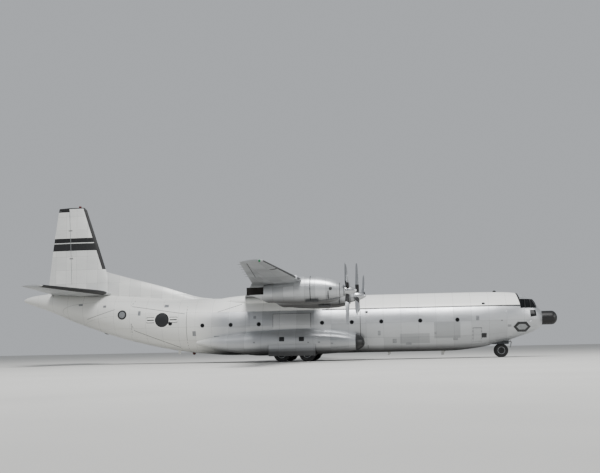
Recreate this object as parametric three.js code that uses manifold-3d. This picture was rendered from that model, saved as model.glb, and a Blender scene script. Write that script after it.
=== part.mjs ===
// Four-turboprop high-wing military transport plane, as a 1:2 scale model standing on its landing gear.
// Lengths below are metres of the full-size aircraft, and MM_PER_METRE turns them into model millimetres.
// A station is a distance aft of the radome's tip. The model's frame has +X to the nose, +Y to port and
// +Z up, with its origin on the ground, in the plane of symmetry, at half the overall length.
import * as THREE from 'three';
import * as BufferGeometryUtils from 'three/addons/utils/BufferGeometryUtils.js';
import Module from 'manifold-3d';

const wasm = await Module();
wasm.setup();

// Driving dimensions
const MM_PER_METRE = 500;
const LENGTH = 48.02;
const SEAT_GAP = 0.0006;
const RUNNING_GAP = 0.012;
const BODY_WALL = 0.13;
const BODY_SIDES = 32;
const HALF_SPAN = 27.4;
const INBOARD_Y = 6.2;
const OUTBOARD_Y = 12.3;
const PROP_RADIUS = 2.743;
const MAIN_GEAR_STATION = 22.66;
const NOSE_GEAR_STATION = 4.93;
const FAR = 60;

const group = new THREE.Group();

const COLORS = {
  white: '#e6e6e2', metal: '#b9bbbd', black: '#1b1b1d', glass: '#2b3238', rubber: '#161616',
  steel: '#8b8d90', grey: '#8d9092', dark: '#3c3f42',
};

function material(color, roughness = 0.5, metalness = 0.1) {
  return new THREE.MeshStandardMaterial({ color: COLORS[color], roughness, metalness });
}

// Model point for a full-size station, y and z
function place(station, y, z) {
  return new THREE.Vector3((LENGTH / 2 - station) * MM_PER_METRE, y * MM_PER_METRE, z * MM_PER_METRE);
}

function toSolid(geometry) {
  const bare = geometry.clone();
  bare.deleteAttribute('normal');
  bare.deleteAttribute('uv');
  const merged = BufferGeometryUtils.mergeVertices(bare, 1e-3);
  const vertProperties = new Float32Array(merged.attributes.position.array);
  const triVerts = new Uint32Array(merged.index.array);
  return new wasm.Manifold(new wasm.Mesh({ numProp: 3, vertProperties, triVerts }));
}

function addPiece(name, solid, color, roughness, metalness) {
  const mesh = solid.getMesh();
  const geometry = new THREE.BufferGeometry();
  geometry.setAttribute('position', new THREE.BufferAttribute(mesh.vertProperties, 3));
  geometry.setIndex(new THREE.BufferAttribute(mesh.triVerts, 1));
  geometry.computeVertexNormals();
  const piece = new THREE.Mesh(geometry, material(color, roughness, metalness));
  piece.name = name;
  group.add(piece);
}

// Solid through rings of points. In each ring, points j and count - j face each other across the ring.
function loft(rings) {
  const count = rings[0].length;
  const positions = rings.flat().flatMap((point) => [point.x, point.y, point.z]);
  const index = [];
  for (let i = 0; i + 1 < rings.length; i += 1) {
    for (let j = 0; j < count; j += 1) {
      const a = i * count + j;
      const b = i * count + ((j + 1) % count);
      index.push(a, b, b + count, a, b + count, a + count);
    }
  }
  const last = (rings.length - 1) * count;
  const half = count / 2;
  for (let j = 0; j < half; j += 1) {
    const near = (count - j) % count;
    const far = count - j - 1;
    if (j > 0) index.push(near, j + 1, j, last + near, last + j, last + j + 1);
    if (j + 1 < half) index.push(near, far, j + 1, last + near, last + j + 1, last + far);
  }
  let volume = 0;
  const corner = (k) => new THREE.Vector3().fromArray(positions, index[k] * 3);
  for (let k = 0; k < index.length; k += 3) volume += corner(k).dot(corner(k + 1).cross(corner(k + 2)));
  if (volume < 0) index.reverse();
  const geometry = new THREE.BufferGeometry();
  geometry.setAttribute('position', new THREE.Float32BufferAttribute(positions, 3));
  geometry.setIndex(index);
  return toSolid(geometry);
}

// Box from two stations, two y and two z
function block(front, back, y0, y1, z0, z1) {
  const size = place(front, y1, z1).sub(place(back, y0, z0));
  const geometry = new THREE.BoxGeometry(Math.abs(size.x), Math.abs(size.y), Math.abs(size.z));
  const middle = place((front + back) / 2, (y0 + y1) / 2, (z0 + z1) / 2);
  return toSolid(geometry.translate(middle.x, middle.y, middle.z));
}

// Round bar or cone between two model points, with its radii in full-size metres
function bar(from, to, radiusFrom, radiusTo = radiusFrom, sides = 12) {
  const along = to.clone().sub(from);
  const [top, bottom] = [radiusTo * MM_PER_METRE, radiusFrom * MM_PER_METRE];
  const shape = new THREE.CylinderGeometry(top, bottom, along.length(), sides);
  const turn = new THREE.Quaternion().setFromUnitVectors(new THREE.Vector3(0, 1, 0), along.clone().normalize());
  const middle = from.clone().add(to).multiplyScalar(0.5);
  return toSolid(shape.applyQuaternion(turn).translate(middle.x, middle.y, middle.z));
}

// Turned body about the X axis: profile rows are [metres aft of the station, radius]
function turnedAlongX(station, y, z, profile, sides) {
  const points = profile.map(([aft, radius]) => new THREE.Vector2(radius * MM_PER_METRE, aft * MM_PER_METRE));
  const at = place(station, y, z);
  return toSolid(new THREE.LatheGeometry(points, sides).rotateZ(Math.PI / 2).translate(at.x, at.y, at.z));
}

// Turned body about the Y axis: profile rows are [metres to port of y, radius]
function turnedAlongY(station, y, z, profile, sides) {
  const points = profile.map(([port, radius]) => {
    return new THREE.Vector2(radius * MM_PER_METRE, port * MM_PER_METRE);
  });
  const at = place(station, y, z);
  return toSolid(new THREE.LatheGeometry(points, sides).translate(at.x, at.y, at.z));
}

function joined(solids) {
  return solids.reduce((sum, solid) => sum.add(solid));
}

function mirrored(solid) {
  return solid.mirror([0, 1, 0]);
}

// Hinge pins, in full-size metres: radius, reach into the moving panel, root in the part that holds them
const PIN_RADIUS = 0.006;
const PIN_REACH = 0.08;
const PIN_ROOT = 0.03;
const PIN_SIDES = 8;
const EYE_SIDES = 8;

// Pins at both ends of the hinge line from a to b, which lie on the fixed part's end faces, and their bores
function hingePins(a, b) {
  const along = b.clone().sub(a).normalize();
  const both = (from, to, radius) => joined([[a, along], [b, along.clone().negate()]].map(([end, way]) => {
    const at = (depth) => end.clone().addScaledVector(way, depth * MM_PER_METRE);
    return bar(at(from), at(to), radius, radius, PIN_SIDES);
  }));
  return {
    pins: both(-PIN_ROOT, PIN_REACH, PIN_RADIUS),
    bores: both(0, PIN_REACH + SEAT_GAP, PIN_RADIUS + SEAT_GAP),
  };
}

// Skin hinge: a moving eye from a to b, between fixed eyes that reach out past it and hold the pins
function skinHinge(fixed, panel, a, b, reach, radius) {
  const along = b.clone().sub(a).normalize();
  const eye = (from, to, r) => {
    const start = a.clone().addScaledVector(along, from * MM_PER_METRE);
    return bar(start, b.clone().addScaledVector(along, to * MM_PER_METRE), r, r, EYE_SIDES);
  };
  const clear = radius + RUNNING_GAP;
  const fixedEyes = eye(-reach, reach, radius).subtract(eye(-RUNNING_GAP, RUNNING_GAP, clear));
  const { pins, bores } = hingePins(a.clone().addScaledVector(along, -RUNNING_GAP * MM_PER_METRE),
    b.clone().addScaledVector(along, RUNNING_GAP * MM_PER_METRE));
  const fixedRoom = eye(-reach - RUNNING_GAP, reach + RUNNING_GAP, clear)
    .subtract(eye(-RUNNING_GAP, RUNNING_GAP, 2 * clear));
  return {
    fixed: fixed.subtract(eye(-RUNNING_GAP, RUNNING_GAP, clear)).add(fixedEyes).add(pins),
    panel: panel.subtract(fixedRoom).add(eye(0, 0, radius)).subtract(bores),
  };
}

// Elliptical ring across the body, first point at the keel
function bodyRing(station, top, bottom, halfWidth, inset = 0) {
  const middle = (top + bottom) / 2;
  const ring = [];
  for (let j = 0; j < BODY_SIDES; j += 1) {
    const angle = (j / BODY_SIDES) * 2 * Math.PI;
    const y = Math.sin(angle) * (halfWidth - inset);
    ring.push(place(station, y, middle - Math.cos(angle) * ((top - bottom) / 2 - inset)));
  }
  return ring;
}

// Body sections: station, top, bottom, half width
const BODY_SECTIONS = [
  [1.36, 3.95, 2.75, 0.6],
  [1.62, 4.3, 2.48, 0.95],
  [2.12, 5.02, 2.18, 1.4],
  [3.3, 5.52, 1.78, 1.95],
  [4.3, 5.64, 1.44, 2.2],
  [5.6, 5.69, 1.12, 2.4],
  [7.2, 5.71, 0.84, 2.5],
  [9.4, 5.72, 0.66, 2.53],
  [28.5, 5.72, 0.65, 2.53],
  [31.0, 5.74, 0.82, 2.5],
  [33.27, 5.8, 1.1, 2.44],
  [37.7, 6.1, 2.06, 2.1],
  [40.84, 6.38, 3.05, 1.65],
  [43.5, 6.52, 4.05, 1.2],
  [45.1, 6.56, 4.77, 0.88],
  [46.8, 6.42, 5.4, 0.5],
  [47.75, 6.2, 5.76, 0.22],
  [48.02, 6.06, 5.9, 0.08],
];
const TAIL_CAVITY_END = 46.0;

function bodyAt(station) {
  const next = BODY_SECTIONS.findIndex((row) => row[0] >= station);
  if (next <= 0) return BODY_SECTIONS[0];
  const [a, b] = [BODY_SECTIONS[next - 1], BODY_SECTIONS[next]];
  const share = (station - a[0]) / (b[0] - a[0]);
  return a.map((value, k) => value + (b[k] - value) * share);
}

function bodyLoft(inset, from = BODY_SECTIONS[0][0], to = LENGTH) {
  const rows = BODY_SECTIONS.filter((row) => row[0] > from && row[0] < to);
  return loft([bodyAt(from), ...rows, bodyAt(to)].map(([s, top, low, half]) => {
    return bodyRing(s, top, low, half, inset);
  }));
}

const bodyOuter = bodyLoft(0);
const bodyInner = bodyLoft(BODY_WALL, 1.75, TAIL_CAVITY_END);
const bodyClear = bodyLoft(-SEAT_GAP);
const bodyShell = bodyOuter.subtract(bodyInner);

function bodyPart(front, back, gap = SEAT_GAP / 2) {
  return bodyShell.intersect(block(front + gap, back - gap, -FAR, FAR, -FAR, FAR));
}

// Radome: straight black drum with a rounded end
const RADOME_RADIUS = 0.6;
const RADOME_Z = 3.35;
const RADOME_STRAIGHT = 0.5;
const radomeProfile = [[0, 0]];
for (let k = 1; k <= 6; k += 1) {
  const angle = (k / 6) * (Math.PI / 2);
  radomeProfile.push([RADOME_STRAIGHT * (1 - Math.cos(angle)), RADOME_RADIUS * Math.sin(angle)]);
}
const radomeBase = BODY_SECTIONS[0][0] - SEAT_GAP;
radomeProfile.push([radomeBase, RADOME_RADIUS], [radomeBase, 0]);
addPiece('radome', turnedAlongX(0, 0, RADOME_Z, radomeProfile, 20), 'black', 0.4, 0);

// Nose section: hollow, with the glazing opening, the nose wheel well and the crew door's frame
const NOSE_END = 8.2;
const GLASS_BOTTOM = 4.2;
const GLASS_TOP = 4.97;
const GLASS_END = 3.3;
const GLASS_THICKNESS = 0.05;
const WELL_FRONT = 4.2;
const WELL_BACK = 5.95;
const WELL_HALF = 0.62;
const WELL_TOP = 2.2;
const WELL_WALL = 0.1;
const SKIN_EYE = 0.03;
const CREW_DOOR = { front: 6.72, back: 7.39, low: 1.39, high: 2.53 };
const glazingCut = block(1.4, GLASS_END, -FAR, FAR, GLASS_BOTTOM, GLASS_TOP);
const wellBox = block(WELL_FRONT, WELL_BACK, -WELL_HALF, WELL_HALF, 0, WELL_TOP).intersect(bodyOuter);
const wellRoom = block(WELL_FRONT + WELL_WALL, WELL_BACK - WELL_WALL, -WELL_HALF + WELL_WALL,
  WELL_HALF - WELL_WALL, -1, WELL_TOP - WELL_WALL);
const crewCut = block(CREW_DOOR.front, CREW_DOOR.back, -4, -1, CREW_DOOR.low, CREW_DOOR.high);
const crewPanel = block(CREW_DOOR.front + RUNNING_GAP, CREW_DOOR.back - RUNNING_GAP, -4, -1,
  CREW_DOOR.low + RUNNING_GAP, CREW_DOOR.high - RUNNING_GAP);
const noseSection = bodyPart(BODY_SECTIONS[0][0] - SEAT_GAP, NOSE_END)
  .subtract(glazingCut).add(wellBox).subtract(wellRoom).subtract(crewCut);
const CREW_EYE = 0.042;
const crewHinge = (station) => place(station, -1.612, 1.4);
const crewSkin = bodyShell.intersect(crewPanel);
const crew = skinHinge(noseSection, crewSkin, crewHinge(7.24), crewHinge(7.12), 0.1, CREW_EYE);
addPiece('nose_section', crew.fixed, 'white', 0.45, 0.2);
addPiece('crew_door', crew.panel, 'metal', 0.4, 0.6);

const glassBand = bodyOuter.subtract(bodyLoft(GLASS_THICKNESS, 1.5, 4)).intersect(
  block(1.55, GLASS_END - SEAT_GAP, -FAR, FAR, GLASS_BOTTOM + SEAT_GAP, GLASS_TOP - SEAT_GAP));
addPiece('windscreen', glassBand, 'glass', 0.1, 0);

// Flight deck: floor, instrument panel, rear bulkhead and two seats, fitted to the nose section's inside
const DECK_Z = 3.1;
const DECK_FRONT = 2.2;
const DECK_BACK = 6.4;
const SEAT_Y = 0.62;
const noseRoom = bodyLoft(BODY_WALL + SEAT_GAP, 1.8, 12);
const deckParts = [
  block(DECK_FRONT, DECK_BACK, -3, 3, DECK_Z - 0.12, DECK_Z),
  block(DECK_BACK - 0.12, DECK_BACK, -3, 3, DECK_Z - 0.1, 6),
  block(DECK_FRONT, DECK_FRONT + 0.35, -1.0, 1.0, DECK_Z - 0.05, 4.1),
  block(2.6, 3.3, -0.22, 0.22, DECK_Z - 0.05, 3.65),
];
for (const side of [-1, 1]) {
  const y = side * SEAT_Y;
  deckParts.push(block(3.2, 3.75, y - 0.26, y + 0.26, DECK_Z - 0.05, DECK_Z + 0.45));
  deckParts.push(block(3.62, 3.8, y - 0.26, y + 0.26, DECK_Z + 0.3, DECK_Z + 1.35));
}
addPiece('flight_deck', joined(deckParts).intersect(noseRoom), 'dark', 0.7, 0);

// Forward, centre and aft sections of the body, with the port cargo door's frame
const FORWARD_END = 16.6;
const CENTRE_END = 28.5;
const AFT_END = 38.2;
const SIDE_DOOR = { front: 9.4, back: 12.2, low: 1.62, high: 4.2 };
const sideCut = block(SIDE_DOOR.front, SIDE_DOOR.back, 1, 4, SIDE_DOOR.low, SIDE_DOOR.high);
const sidePanel = block(SIDE_DOOR.front + RUNNING_GAP, SIDE_DOOR.back - RUNNING_GAP, 1, 4,
  SIDE_DOOR.low + RUNNING_GAP, SIDE_DOOR.high - RUNNING_GAP);
const NOSE_JACK = { station: 12.0, foot: 0.58 };
const noseJack = bar(place(NOSE_JACK.station, 0, NOSE_JACK.foot), place(NOSE_JACK.station, 0, 0.72), 0.1);
const forwardSkin = bodyPart(NOSE_END, FORWARD_END).subtract(sideCut).add(noseJack);
const sideHinge = (station) => place(station, 2.335, 4.19);
const sideSkin = bodyShell.intersect(sidePanel);
const side = skinHinge(forwardSkin, sideSkin, sideHinge(11.1), sideHinge(10.5), 0.3, SKIN_EYE);
addPiece('forward_fuselage', side.fixed, 'white', 0.45, 0.2);
addPiece('side_cargo_door', side.panel, 'white', 0.45, 0.2);
addPiece('centre_fuselage', bodyPart(FORWARD_END, CENTRE_END), 'white', 0.45, 0.2);

// Rear loading opening: the ramp and the upper door meet on a plane that leans forward with height
const RAMP_FRONT = 32.3;
const SPLIT_STATION = 34.95;
const SPLIT_Z = 1.42;
const SPLIT_LEAN = 0.5;
const DOOR_BACK = 37.25;
const OPENING_HALF = 1.3;
const OPENING_TOP = 3.2;
const FLOOR_TOP = 1.55;
const FLOOR_THICKNESS = 0.14;

// Prism under the body between two planes, each given by [station, lean]
function openingPrism([front, frontLean], [back, backLean], gap) {
  const half = OPENING_HALF - gap;
  const rings = [[front + gap, frontLean], [back - gap, backLean]].map(([station, lean]) => {
    const low = station - lean * (0 - SPLIT_Z);
    const high = station - lean * (OPENING_TOP - SPLIT_Z);
    return [
      place(low, -half, 0),
      place(low, half, 0),
      place(high, half, OPENING_TOP),
      place(high, -half, OPENING_TOP),
    ];
  });
  return loft(rings);
}

const frontPlane = [RAMP_FRONT, 0];
const splitPlane = [SPLIT_STATION, SPLIT_LEAN];
const backPlane = [DOOR_BACK, 0];
const loadingCut = openingPrism(frontPlane, backPlane, 0);
// Ramp floor: station, top
const rampFloorRings = [[RAMP_FRONT + 0.1, 1.4], [SPLIT_STATION - 0.35, 1.88]].map(([station, top]) => {
  const half = OPENING_HALF - 0.08;
  const low = top - 0.6;
  return [
    place(station, -half, low),
    place(station, half, low),
    place(station, half, top),
    place(station, -half, top),
  ];
});
const rampFloor = loft(rampFloorRings).intersect(bodyLoft(0.02, 30, 40));
const rampSkin = bodyShell.intersect(openingPrism(frontPlane, splitPlane, RUNNING_GAP));
const RAMP_HINGE_Z = 0.98;
const rampHinge = (y) => place(RAMP_FRONT + RUNNING_GAP, y, RAMP_HINGE_Z);
const AFT_EYE = 0.11;
const AFT_HINGE_Z = 2.56;
const aftHinge = (y) => place(DOOR_BACK - RUNNING_GAP, y, AFT_HINGE_Z);
const aftSkin = bodyPart(CENTRE_END, AFT_END).subtract(loadingCut);
const aftPanel = bodyShell.intersect(openingPrism(splitPlane, backPlane, RUNNING_GAP));
const ramp = skinHinge(aftSkin, rampSkin.add(rampFloor), rampHinge(-0.1), rampHinge(0.1), 0.15, SKIN_EYE);
const aftLeft = skinHinge(ramp.fixed, aftPanel, aftHinge(1.2), aftHinge(1.23), 0.06, AFT_EYE);
const aftRight = skinHinge(aftLeft.fixed, aftLeft.panel, aftHinge(-1.23), aftHinge(-1.2), 0.06, AFT_EYE);
addPiece('aft_fuselage', aftRight.fixed, 'white', 0.45, 0.2);
addPiece('cargo_ramp', ramp.panel, 'metal', 0.45, 0.4);
addPiece('aft_cargo_door', aftRight.panel, 'white', 0.45, 0.2);
addPiece('tail_fuselage', bodyPart(AFT_END, LENGTH + 1), 'white', 0.45, 0.2);

// Hold floor on three keel beams, fitted to the inside of the body
const FLOOR_FRONT = 7.7;
const FLOOR_BACK = 31.9;
const floorParts = [block(FLOOR_FRONT, FLOOR_BACK, -3, 3, FLOOR_TOP - FLOOR_THICKNESS, FLOOR_TOP)];
for (const y of [-0.8, 0, 0.8]) {
  floorParts.push(block(FLOOR_FRONT, FLOOR_BACK, y - 0.06, y + 0.06, 0, FLOOR_TOP - 0.05));
}
const bodyRoom = bodyLoft(BODY_WALL + SEAT_GAP, 2, 45);
addPiece('cargo_floor', joined(floorParts).intersect(bodyRoom), 'grey', 0.6, 0.3);

// Airfoil ring at y: symmetric thickness with a small camber, turned to its incidence
const AIRFOIL_POINTS = 8;
const CAMBER = 0.02;

function airfoilRing(points) {
  const stations = [];
  for (let j = 0; j <= points; j += 1) stations.push((1 + Math.cos((j / points) * Math.PI)) / 2);
  const upper = stations.map((x) => [x, 1]);
  const lower = stations.slice(1, -1).reverse().map((x) => [x, -1]);
  return [...upper, ...lower];
}

function halfThickness(x) {
  return 5 * (0.2969 * Math.sqrt(x) - 0.126 * x - 0.3516 * x ** 2 + 0.2843 * x ** 3 - 0.1036 * x ** 4);
}

// Sections: y, leading-edge station, trailing-edge station, z of the leading edge, thickness ratio, incidence
const WING_SECTIONS = [
  [-0.001, 20.17, 27.5, 6.13, 0.15, 3.5],
  [13.2, 20.97, 24.72, 6.37, 0.14, 3.5],
  [HALF_SPAN - 0.12, 21.83, 23.33, 6.65, 0.12, 3.0],
  [HALF_SPAN, 22.0, 23.22, 6.65, 0.06, 3.0],
];

function wingRow(y) {
  const next = Math.max(1, WING_SECTIONS.findIndex((row) => row[0] >= y));
  const [a, b] = [WING_SECTIONS[next - 1], WING_SECTIONS[next]];
  const share = (y - a[0]) / (b[0] - a[0]);
  return a.map((value, k) => value + (b[k] - value) * share);
}

// Point of a section, metres aft of its leading edge and above its chord line, turned to the incidence
function turnedPoint(lead, y, z, aft, rise, tilt) {
  const station = lead + aft * Math.cos(tilt) + rise * Math.sin(tilt);
  return place(station, y, z + rise * Math.cos(tilt) - aft * Math.sin(tilt));
}

function wingRing([y, lead, trail, z, ratio, incidence], grow = 0) {
  const chord = trail - lead;
  const tilt = THREE.MathUtils.degToRad(incidence);
  return airfoilRing(AIRFOIL_POINTS).map(([x, side]) => {
    const proud = x === 0 || x === 1 ? 0 : side * grow;
    const rise = CAMBER * chord * 4 * x * (1 - x) + side * halfThickness(x) * ratio * chord + proud;
    const aft = x * chord + (x === 0 ? -grow : 0) + (x === 1 ? grow : 0);
    return turnedPoint(lead, y, z, aft, rise, tilt);
  });
}

function wingPoint(y, share, height) {
  const [, lead, trail, z, ratio, incidence] = wingRow(y);
  const chord = trail - lead;
  const tilt = THREE.MathUtils.degToRad(incidence);
  const rise = CAMBER * chord * 4 * share * (1 - share) + height * halfThickness(share) * ratio * chord;
  const aft = share * chord;
  return turnedPoint(lead, y, z, aft, rise, tilt);
}

function wingLoft(from, to, grow = 0) {
  const rows = WING_SECTIONS.filter((row) => row[0] > from && row[0] < to);
  return loft([wingRow(from), ...rows, wingRow(to)].map((row) => wingRing(row, grow)));
}

// Prism aft of a hinge line between two y, as a cutter for a moving panel. Its end faces stand square to the
// hinge line, so the panel's ends keep their gap as it turns. Corner rows: metres aft, metres up
const PRISM_CORNERS = [[0, -2], [0, 2], [4, 2], [4, -2]];

function aftPrism(pointAt, y0, y1, gap) {
  const line = pointAt(y1).sub(pointAt(y0));
  const rings = [pointAt(y0 + gap), pointAt(y1 - gap)].map((hinge) => PRISM_CORNERS.map(([aft, up]) => {
    const across = (aft * line.x - up * line.z) / line.y;
    return hinge.clone().add(new THREE.Vector3(-aft, across, up).multiplyScalar(MM_PER_METRE));
  }));
  return loft(rings);
}

// Flap: hinged just above the lower skin, so it only swings down
const FLAP_SHARE = 0.72;
const FLAP_GAP = 0.018;
const FLAP_HINGE_INSET = 0.016;
// Moving panels on each wing: name, inner y, outer y
const FLAPS = [['flap_inner', 2.95, 5.3], ['flap_middle', 7.2, 11.35], ['flap_outer', 13.3, 17.6]];
const AILERON = { inner: 17.8, outer: 26.5, share: 0.76 };
const CENTRE_HALF = 7.15;

// Point at the lower skin of the flap's front, moved aft and up
function flapFront(y, aft = 0, up = 0) {
  return wingPoint(y, FLAP_SHARE, -1).add(new THREE.Vector3(-aft * MM_PER_METRE, 0, up * MM_PER_METRE));
}

function flapHinge(y) {
  return flapFront(y, FLAP_GAP + FLAP_HINGE_INSET, FLAP_HINGE_INSET);
}

function flapPanel(inner, outer) {
  const front = (y) => flapFront(y, FLAP_GAP);
  const { bores } = hingePins(flapHinge(inner), flapHinge(outer));
  const behind = aftPrism(front, inner, outer, RUNNING_GAP);
  return wingLoft(inner - 0.5, outer + 0.5).intersect(behind).subtract(bores);
}

// Two-way panel: round nose about its hinge line, in a round cove
function hingeLine(pointAt, thicknessAt, y0, y1) {
  return { a: pointAt(y0), b: pointAt(y1), ra: thicknessAt(y0), rb: thicknessAt(y1) };
}

function twoWay(wing, pointAt, thicknessAt, y0, y1) {
  const whole = hingeLine(pointAt, thicknessAt, y0, y1);
  const inside = hingeLine(pointAt, thicknessAt, y0 + RUNNING_GAP, y1 - RUNNING_GAP);
  const cove = bar(whole.a, whole.b, whole.ra * 1.14 + RUNNING_GAP, whole.rb * 1.14 + RUNNING_GAP, 16);
  const nose = bar(inside.a, inside.b, inside.ra * 0.98, inside.rb * 0.98, 16);
  const { pins, bores } = hingePins(whole.a, whole.b);
  const panel = wing.intersect(aftPrism(pointAt, y0, y1, RUNNING_GAP)).add(nose).subtract(bores);
  return { fixed: wing.subtract(aftPrism(pointAt, y0, y1, 0)).subtract(cove).add(pins), panel };
}

function aileronThickness(y) {
  const [, lead, trail, , ratio] = wingRow(y);
  return halfThickness(AILERON.share) * ratio * (trail - lead);
}

// Nacelles. Sections: metres aft of the propeller plane, top and bottom above the thrust line, half width
const NACELLE_SECTIONS = [
  [0.24, 0.43, -0.43, 0.43],
  [0.75, 0.7, -0.58, 0.62],
  [1.4, 0.95, -0.72, 0.74],
  [2.3, 1.13, -0.83, 0.8],
  [3.3, 1.2, -0.89, 0.82],
  [4.5, 1.0, -0.88, 0.8],
  [5.5, 0.75, -0.81, 0.72],
  [6.1, 0.64, -0.8, 0.6],
  [6.9, 0.5, -0.42, 0.45],
  [7.6, 0.42, -0.2, 0.36],
];
// Engines: name, y, station of the propeller plane, z of the thrust line, blade angle in degrees
const ENGINES = [
  ['1', OUTBOARD_Y, 17.46, 5.47, 70],
  ['2', INBOARD_Y, 17.0, 5.34, -15],
  ['3', -INBOARD_Y, 17.0, 5.34, 5],
  ['4', -OUTBOARD_Y, 17.46, 5.47, 45],
];
const NACELLE_SIDES = 16;
const OUTLET = { front: 6.45, back: 7.79, low: -0.17, high: 0.4, half: 0.31, wall: 0.05 };
const ENGINE_RADIUS = 0.43;
const ENGINE_FRONT = 0.8;
const ENGINE_BACK = 4.75;
const PIPE_RADIUS = 0.26;
const INTAKE_RADIUS = 0.38;
const SHAFT_RADIUS = 0.12;

function nacelleLoft(y, plane, z, grow = 0) {
  return loft(NACELLE_SECTIONS.map(([aft, top, bottom, half]) => {
    const ring = [];
    const middle = z + (top + bottom) / 2;
    for (let j = 0; j < NACELLE_SIDES; j += 1) {
      const angle = (j / NACELLE_SIDES) * 2 * Math.PI;
      const across = y + Math.sin(angle) * (half + grow);
      ring.push(place(plane + aft, across, middle - Math.cos(angle) * ((top - bottom) / 2 + grow)));
    }
    return ring;
  }));
}

// Wings: centre section over the body and an outer panel on each side
const wingWhole = wingLoft(-0.001, HALF_SPAN);
let halfWing = wingWhole;
for (const [, inner, outer] of FLAPS) {
  const { pins } = hingePins(flapHinge(inner), flapHinge(outer));
  halfWing = halfWing.subtract(aftPrism(flapFront, inner, outer, 0)).add(pins);
}
const aileronHinge = (y) => wingPoint(y, AILERON.share, 0);
const aileron = twoWay(halfWing, aileronHinge, aileronThickness, AILERON.inner, AILERON.outer);
halfWing = aileron.fixed;
const halfCentre = halfWing.intersect(block(0, FAR, -1, CENTRE_HALF - SEAT_GAP / 2, -FAR, FAR));
const JACK_RADIUS = 0.1;
const WING_JACK = { station: 22.4, y: 4.3, foot: 5.5 };
const wingJackAt = (z) => place(WING_JACK.station, WING_JACK.y, z);
const wingJack = bar(wingJackAt(WING_JACK.foot), wingJackAt(6.1), JACK_RADIUS);
const jackedHalf = halfCentre.add(wingJack);
const wingCentre = jackedHalf.add(mirrored(jackedHalf)).subtract(bodyClear);
addPiece('wing_centre', wingCentre, 'white', 0.45, 0.3);
const outerPanel = halfWing.intersect(block(0, FAR, CENTRE_HALF + SEAT_GAP / 2, FAR, -FAR, FAR));

function addPair(name, solid, color, roughness, metalness) {
  addPiece(`${name}_left`, solid, color, roughness, metalness);
  addPiece(`${name}_right`, mirrored(solid), color, roughness, metalness);
}

addPair('wing', outerPanel, 'metal', 0.4, 0.5);
addPair('aileron', aileron.panel, 'metal', 0.4, 0.5);
for (const [name, inner, outer] of FLAPS) addPair(name, flapPanel(inner, outer), 'metal', 0.4, 0.5);

// Fairing between the wing's root and the body's crown. Sections: station, top, bottom, half width
const FAIRING_SECTIONS = [
  [18.3, 5.6, 5.2, 0.7],
  [19.4, 5.98, 4.9, 1.45],
  [21.5, 6.2, 4.7, 1.7],
  [26.5, 6.0, 4.7, 1.7],
  [28.6, 5.85, 4.9, 1.3],
  [30.2, 5.62, 5.2, 0.6],
];
const fairingLoft = loft(FAIRING_SECTIONS.map(([s, top, low, half]) => bodyRing(s, top, low, half)));
const wingClear = wingLoft(-0.001, HALF_SPAN, SEAT_GAP);
const bothWings = wingClear.add(mirrored(wingClear));
addPiece('wing_fairing', fairingLoft.subtract(bothWings).subtract(bodyClear), 'white', 0.45, 0.2);

// Engine block with its jet pipe and square outlet, nacelle around it, and propeller
function engineSolid(y, plane, z, grow) {
  const at = (aft) => place(plane + aft, y, z);
  const parts = [
    bar(at(ENGINE_FRONT - grow), at(ENGINE_BACK + grow), ENGINE_RADIUS + grow, ENGINE_RADIUS + grow, 16),
    bar(at(ENGINE_BACK - 0.1), at(OUTLET.front + 0.1), PIPE_RADIUS + grow, PIPE_RADIUS + grow, 12),
    block(plane + OUTLET.front - grow, plane + OUTLET.back + grow, y - OUTLET.half - grow, y + OUTLET.half + grow,
      z + OUTLET.low - grow, z + OUTLET.high + grow),
  ];
  return joined(parts);
}

// Blade sections: radius, chord, thickness, pitch in degrees
const BLADE_SECTIONS = [
  [0.22, 0.3, 0.24, 48],
  [0.6, 0.42, 0.18, 43],
  [1.1, 0.5, 0.11, 36],
  [1.9, 0.5, 0.07, 28],
  [2.5, 0.44, 0.04, 23],
  [PROP_RADIUS, 0.28, 0.025, 21],
];
const BLADE_POINTS = 4;
// Hub and spinner profile: metres aft of the propeller plane, radius
const SPINNER_PROFILE = [
  [-0.71, 0],
  [-0.69, 0.06],
  [-0.55, 0.17],
  [-0.3, 0.29],
  [-0.05, 0.36],
  [0.2, 0.36],
  [0.2, 0],
];
const SPINNER_SIDES = 16;

function propeller(y, plane, z, bladeAngle) {
  const shaftEnd = place(plane + ENGINE_FRONT - SEAT_GAP, y, z);
  const shaft = bar(place(plane, y, z), shaftEnd, SHAFT_RADIUS, SHAFT_RADIUS, 12);
  const parts = [turnedAlongX(plane, y, z, SPINNER_PROFILE, SPINNER_SIDES), shaft];
  for (let k = 0; k < 3; k += 1) {
    const around = THREE.MathUtils.degToRad(bladeAngle + k * 120);
    const rings = BLADE_SECTIONS.map(([radius, chord, thickness, pitch]) => {
      const turn = THREE.MathUtils.degToRad(pitch);
      return airfoilRing(BLADE_POINTS).map(([x, side]) => {
        const along = (0.4 - x) * chord;
        const rise = side * halfThickness(x) * thickness;
        const forward = along * Math.sin(turn) + rise * Math.cos(turn);
        const across = along * Math.cos(turn) - rise * Math.sin(turn);
        const blade = new THREE.Vector3(forward, -across, radius);
        blade.applyAxisAngle(new THREE.Vector3(1, 0, 0), around);
        return place(plane - blade.x, y + blade.y, z + blade.z);
      });
    });
    parts.push(loft(rings));
  }
  return joined(parts);
}

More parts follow.
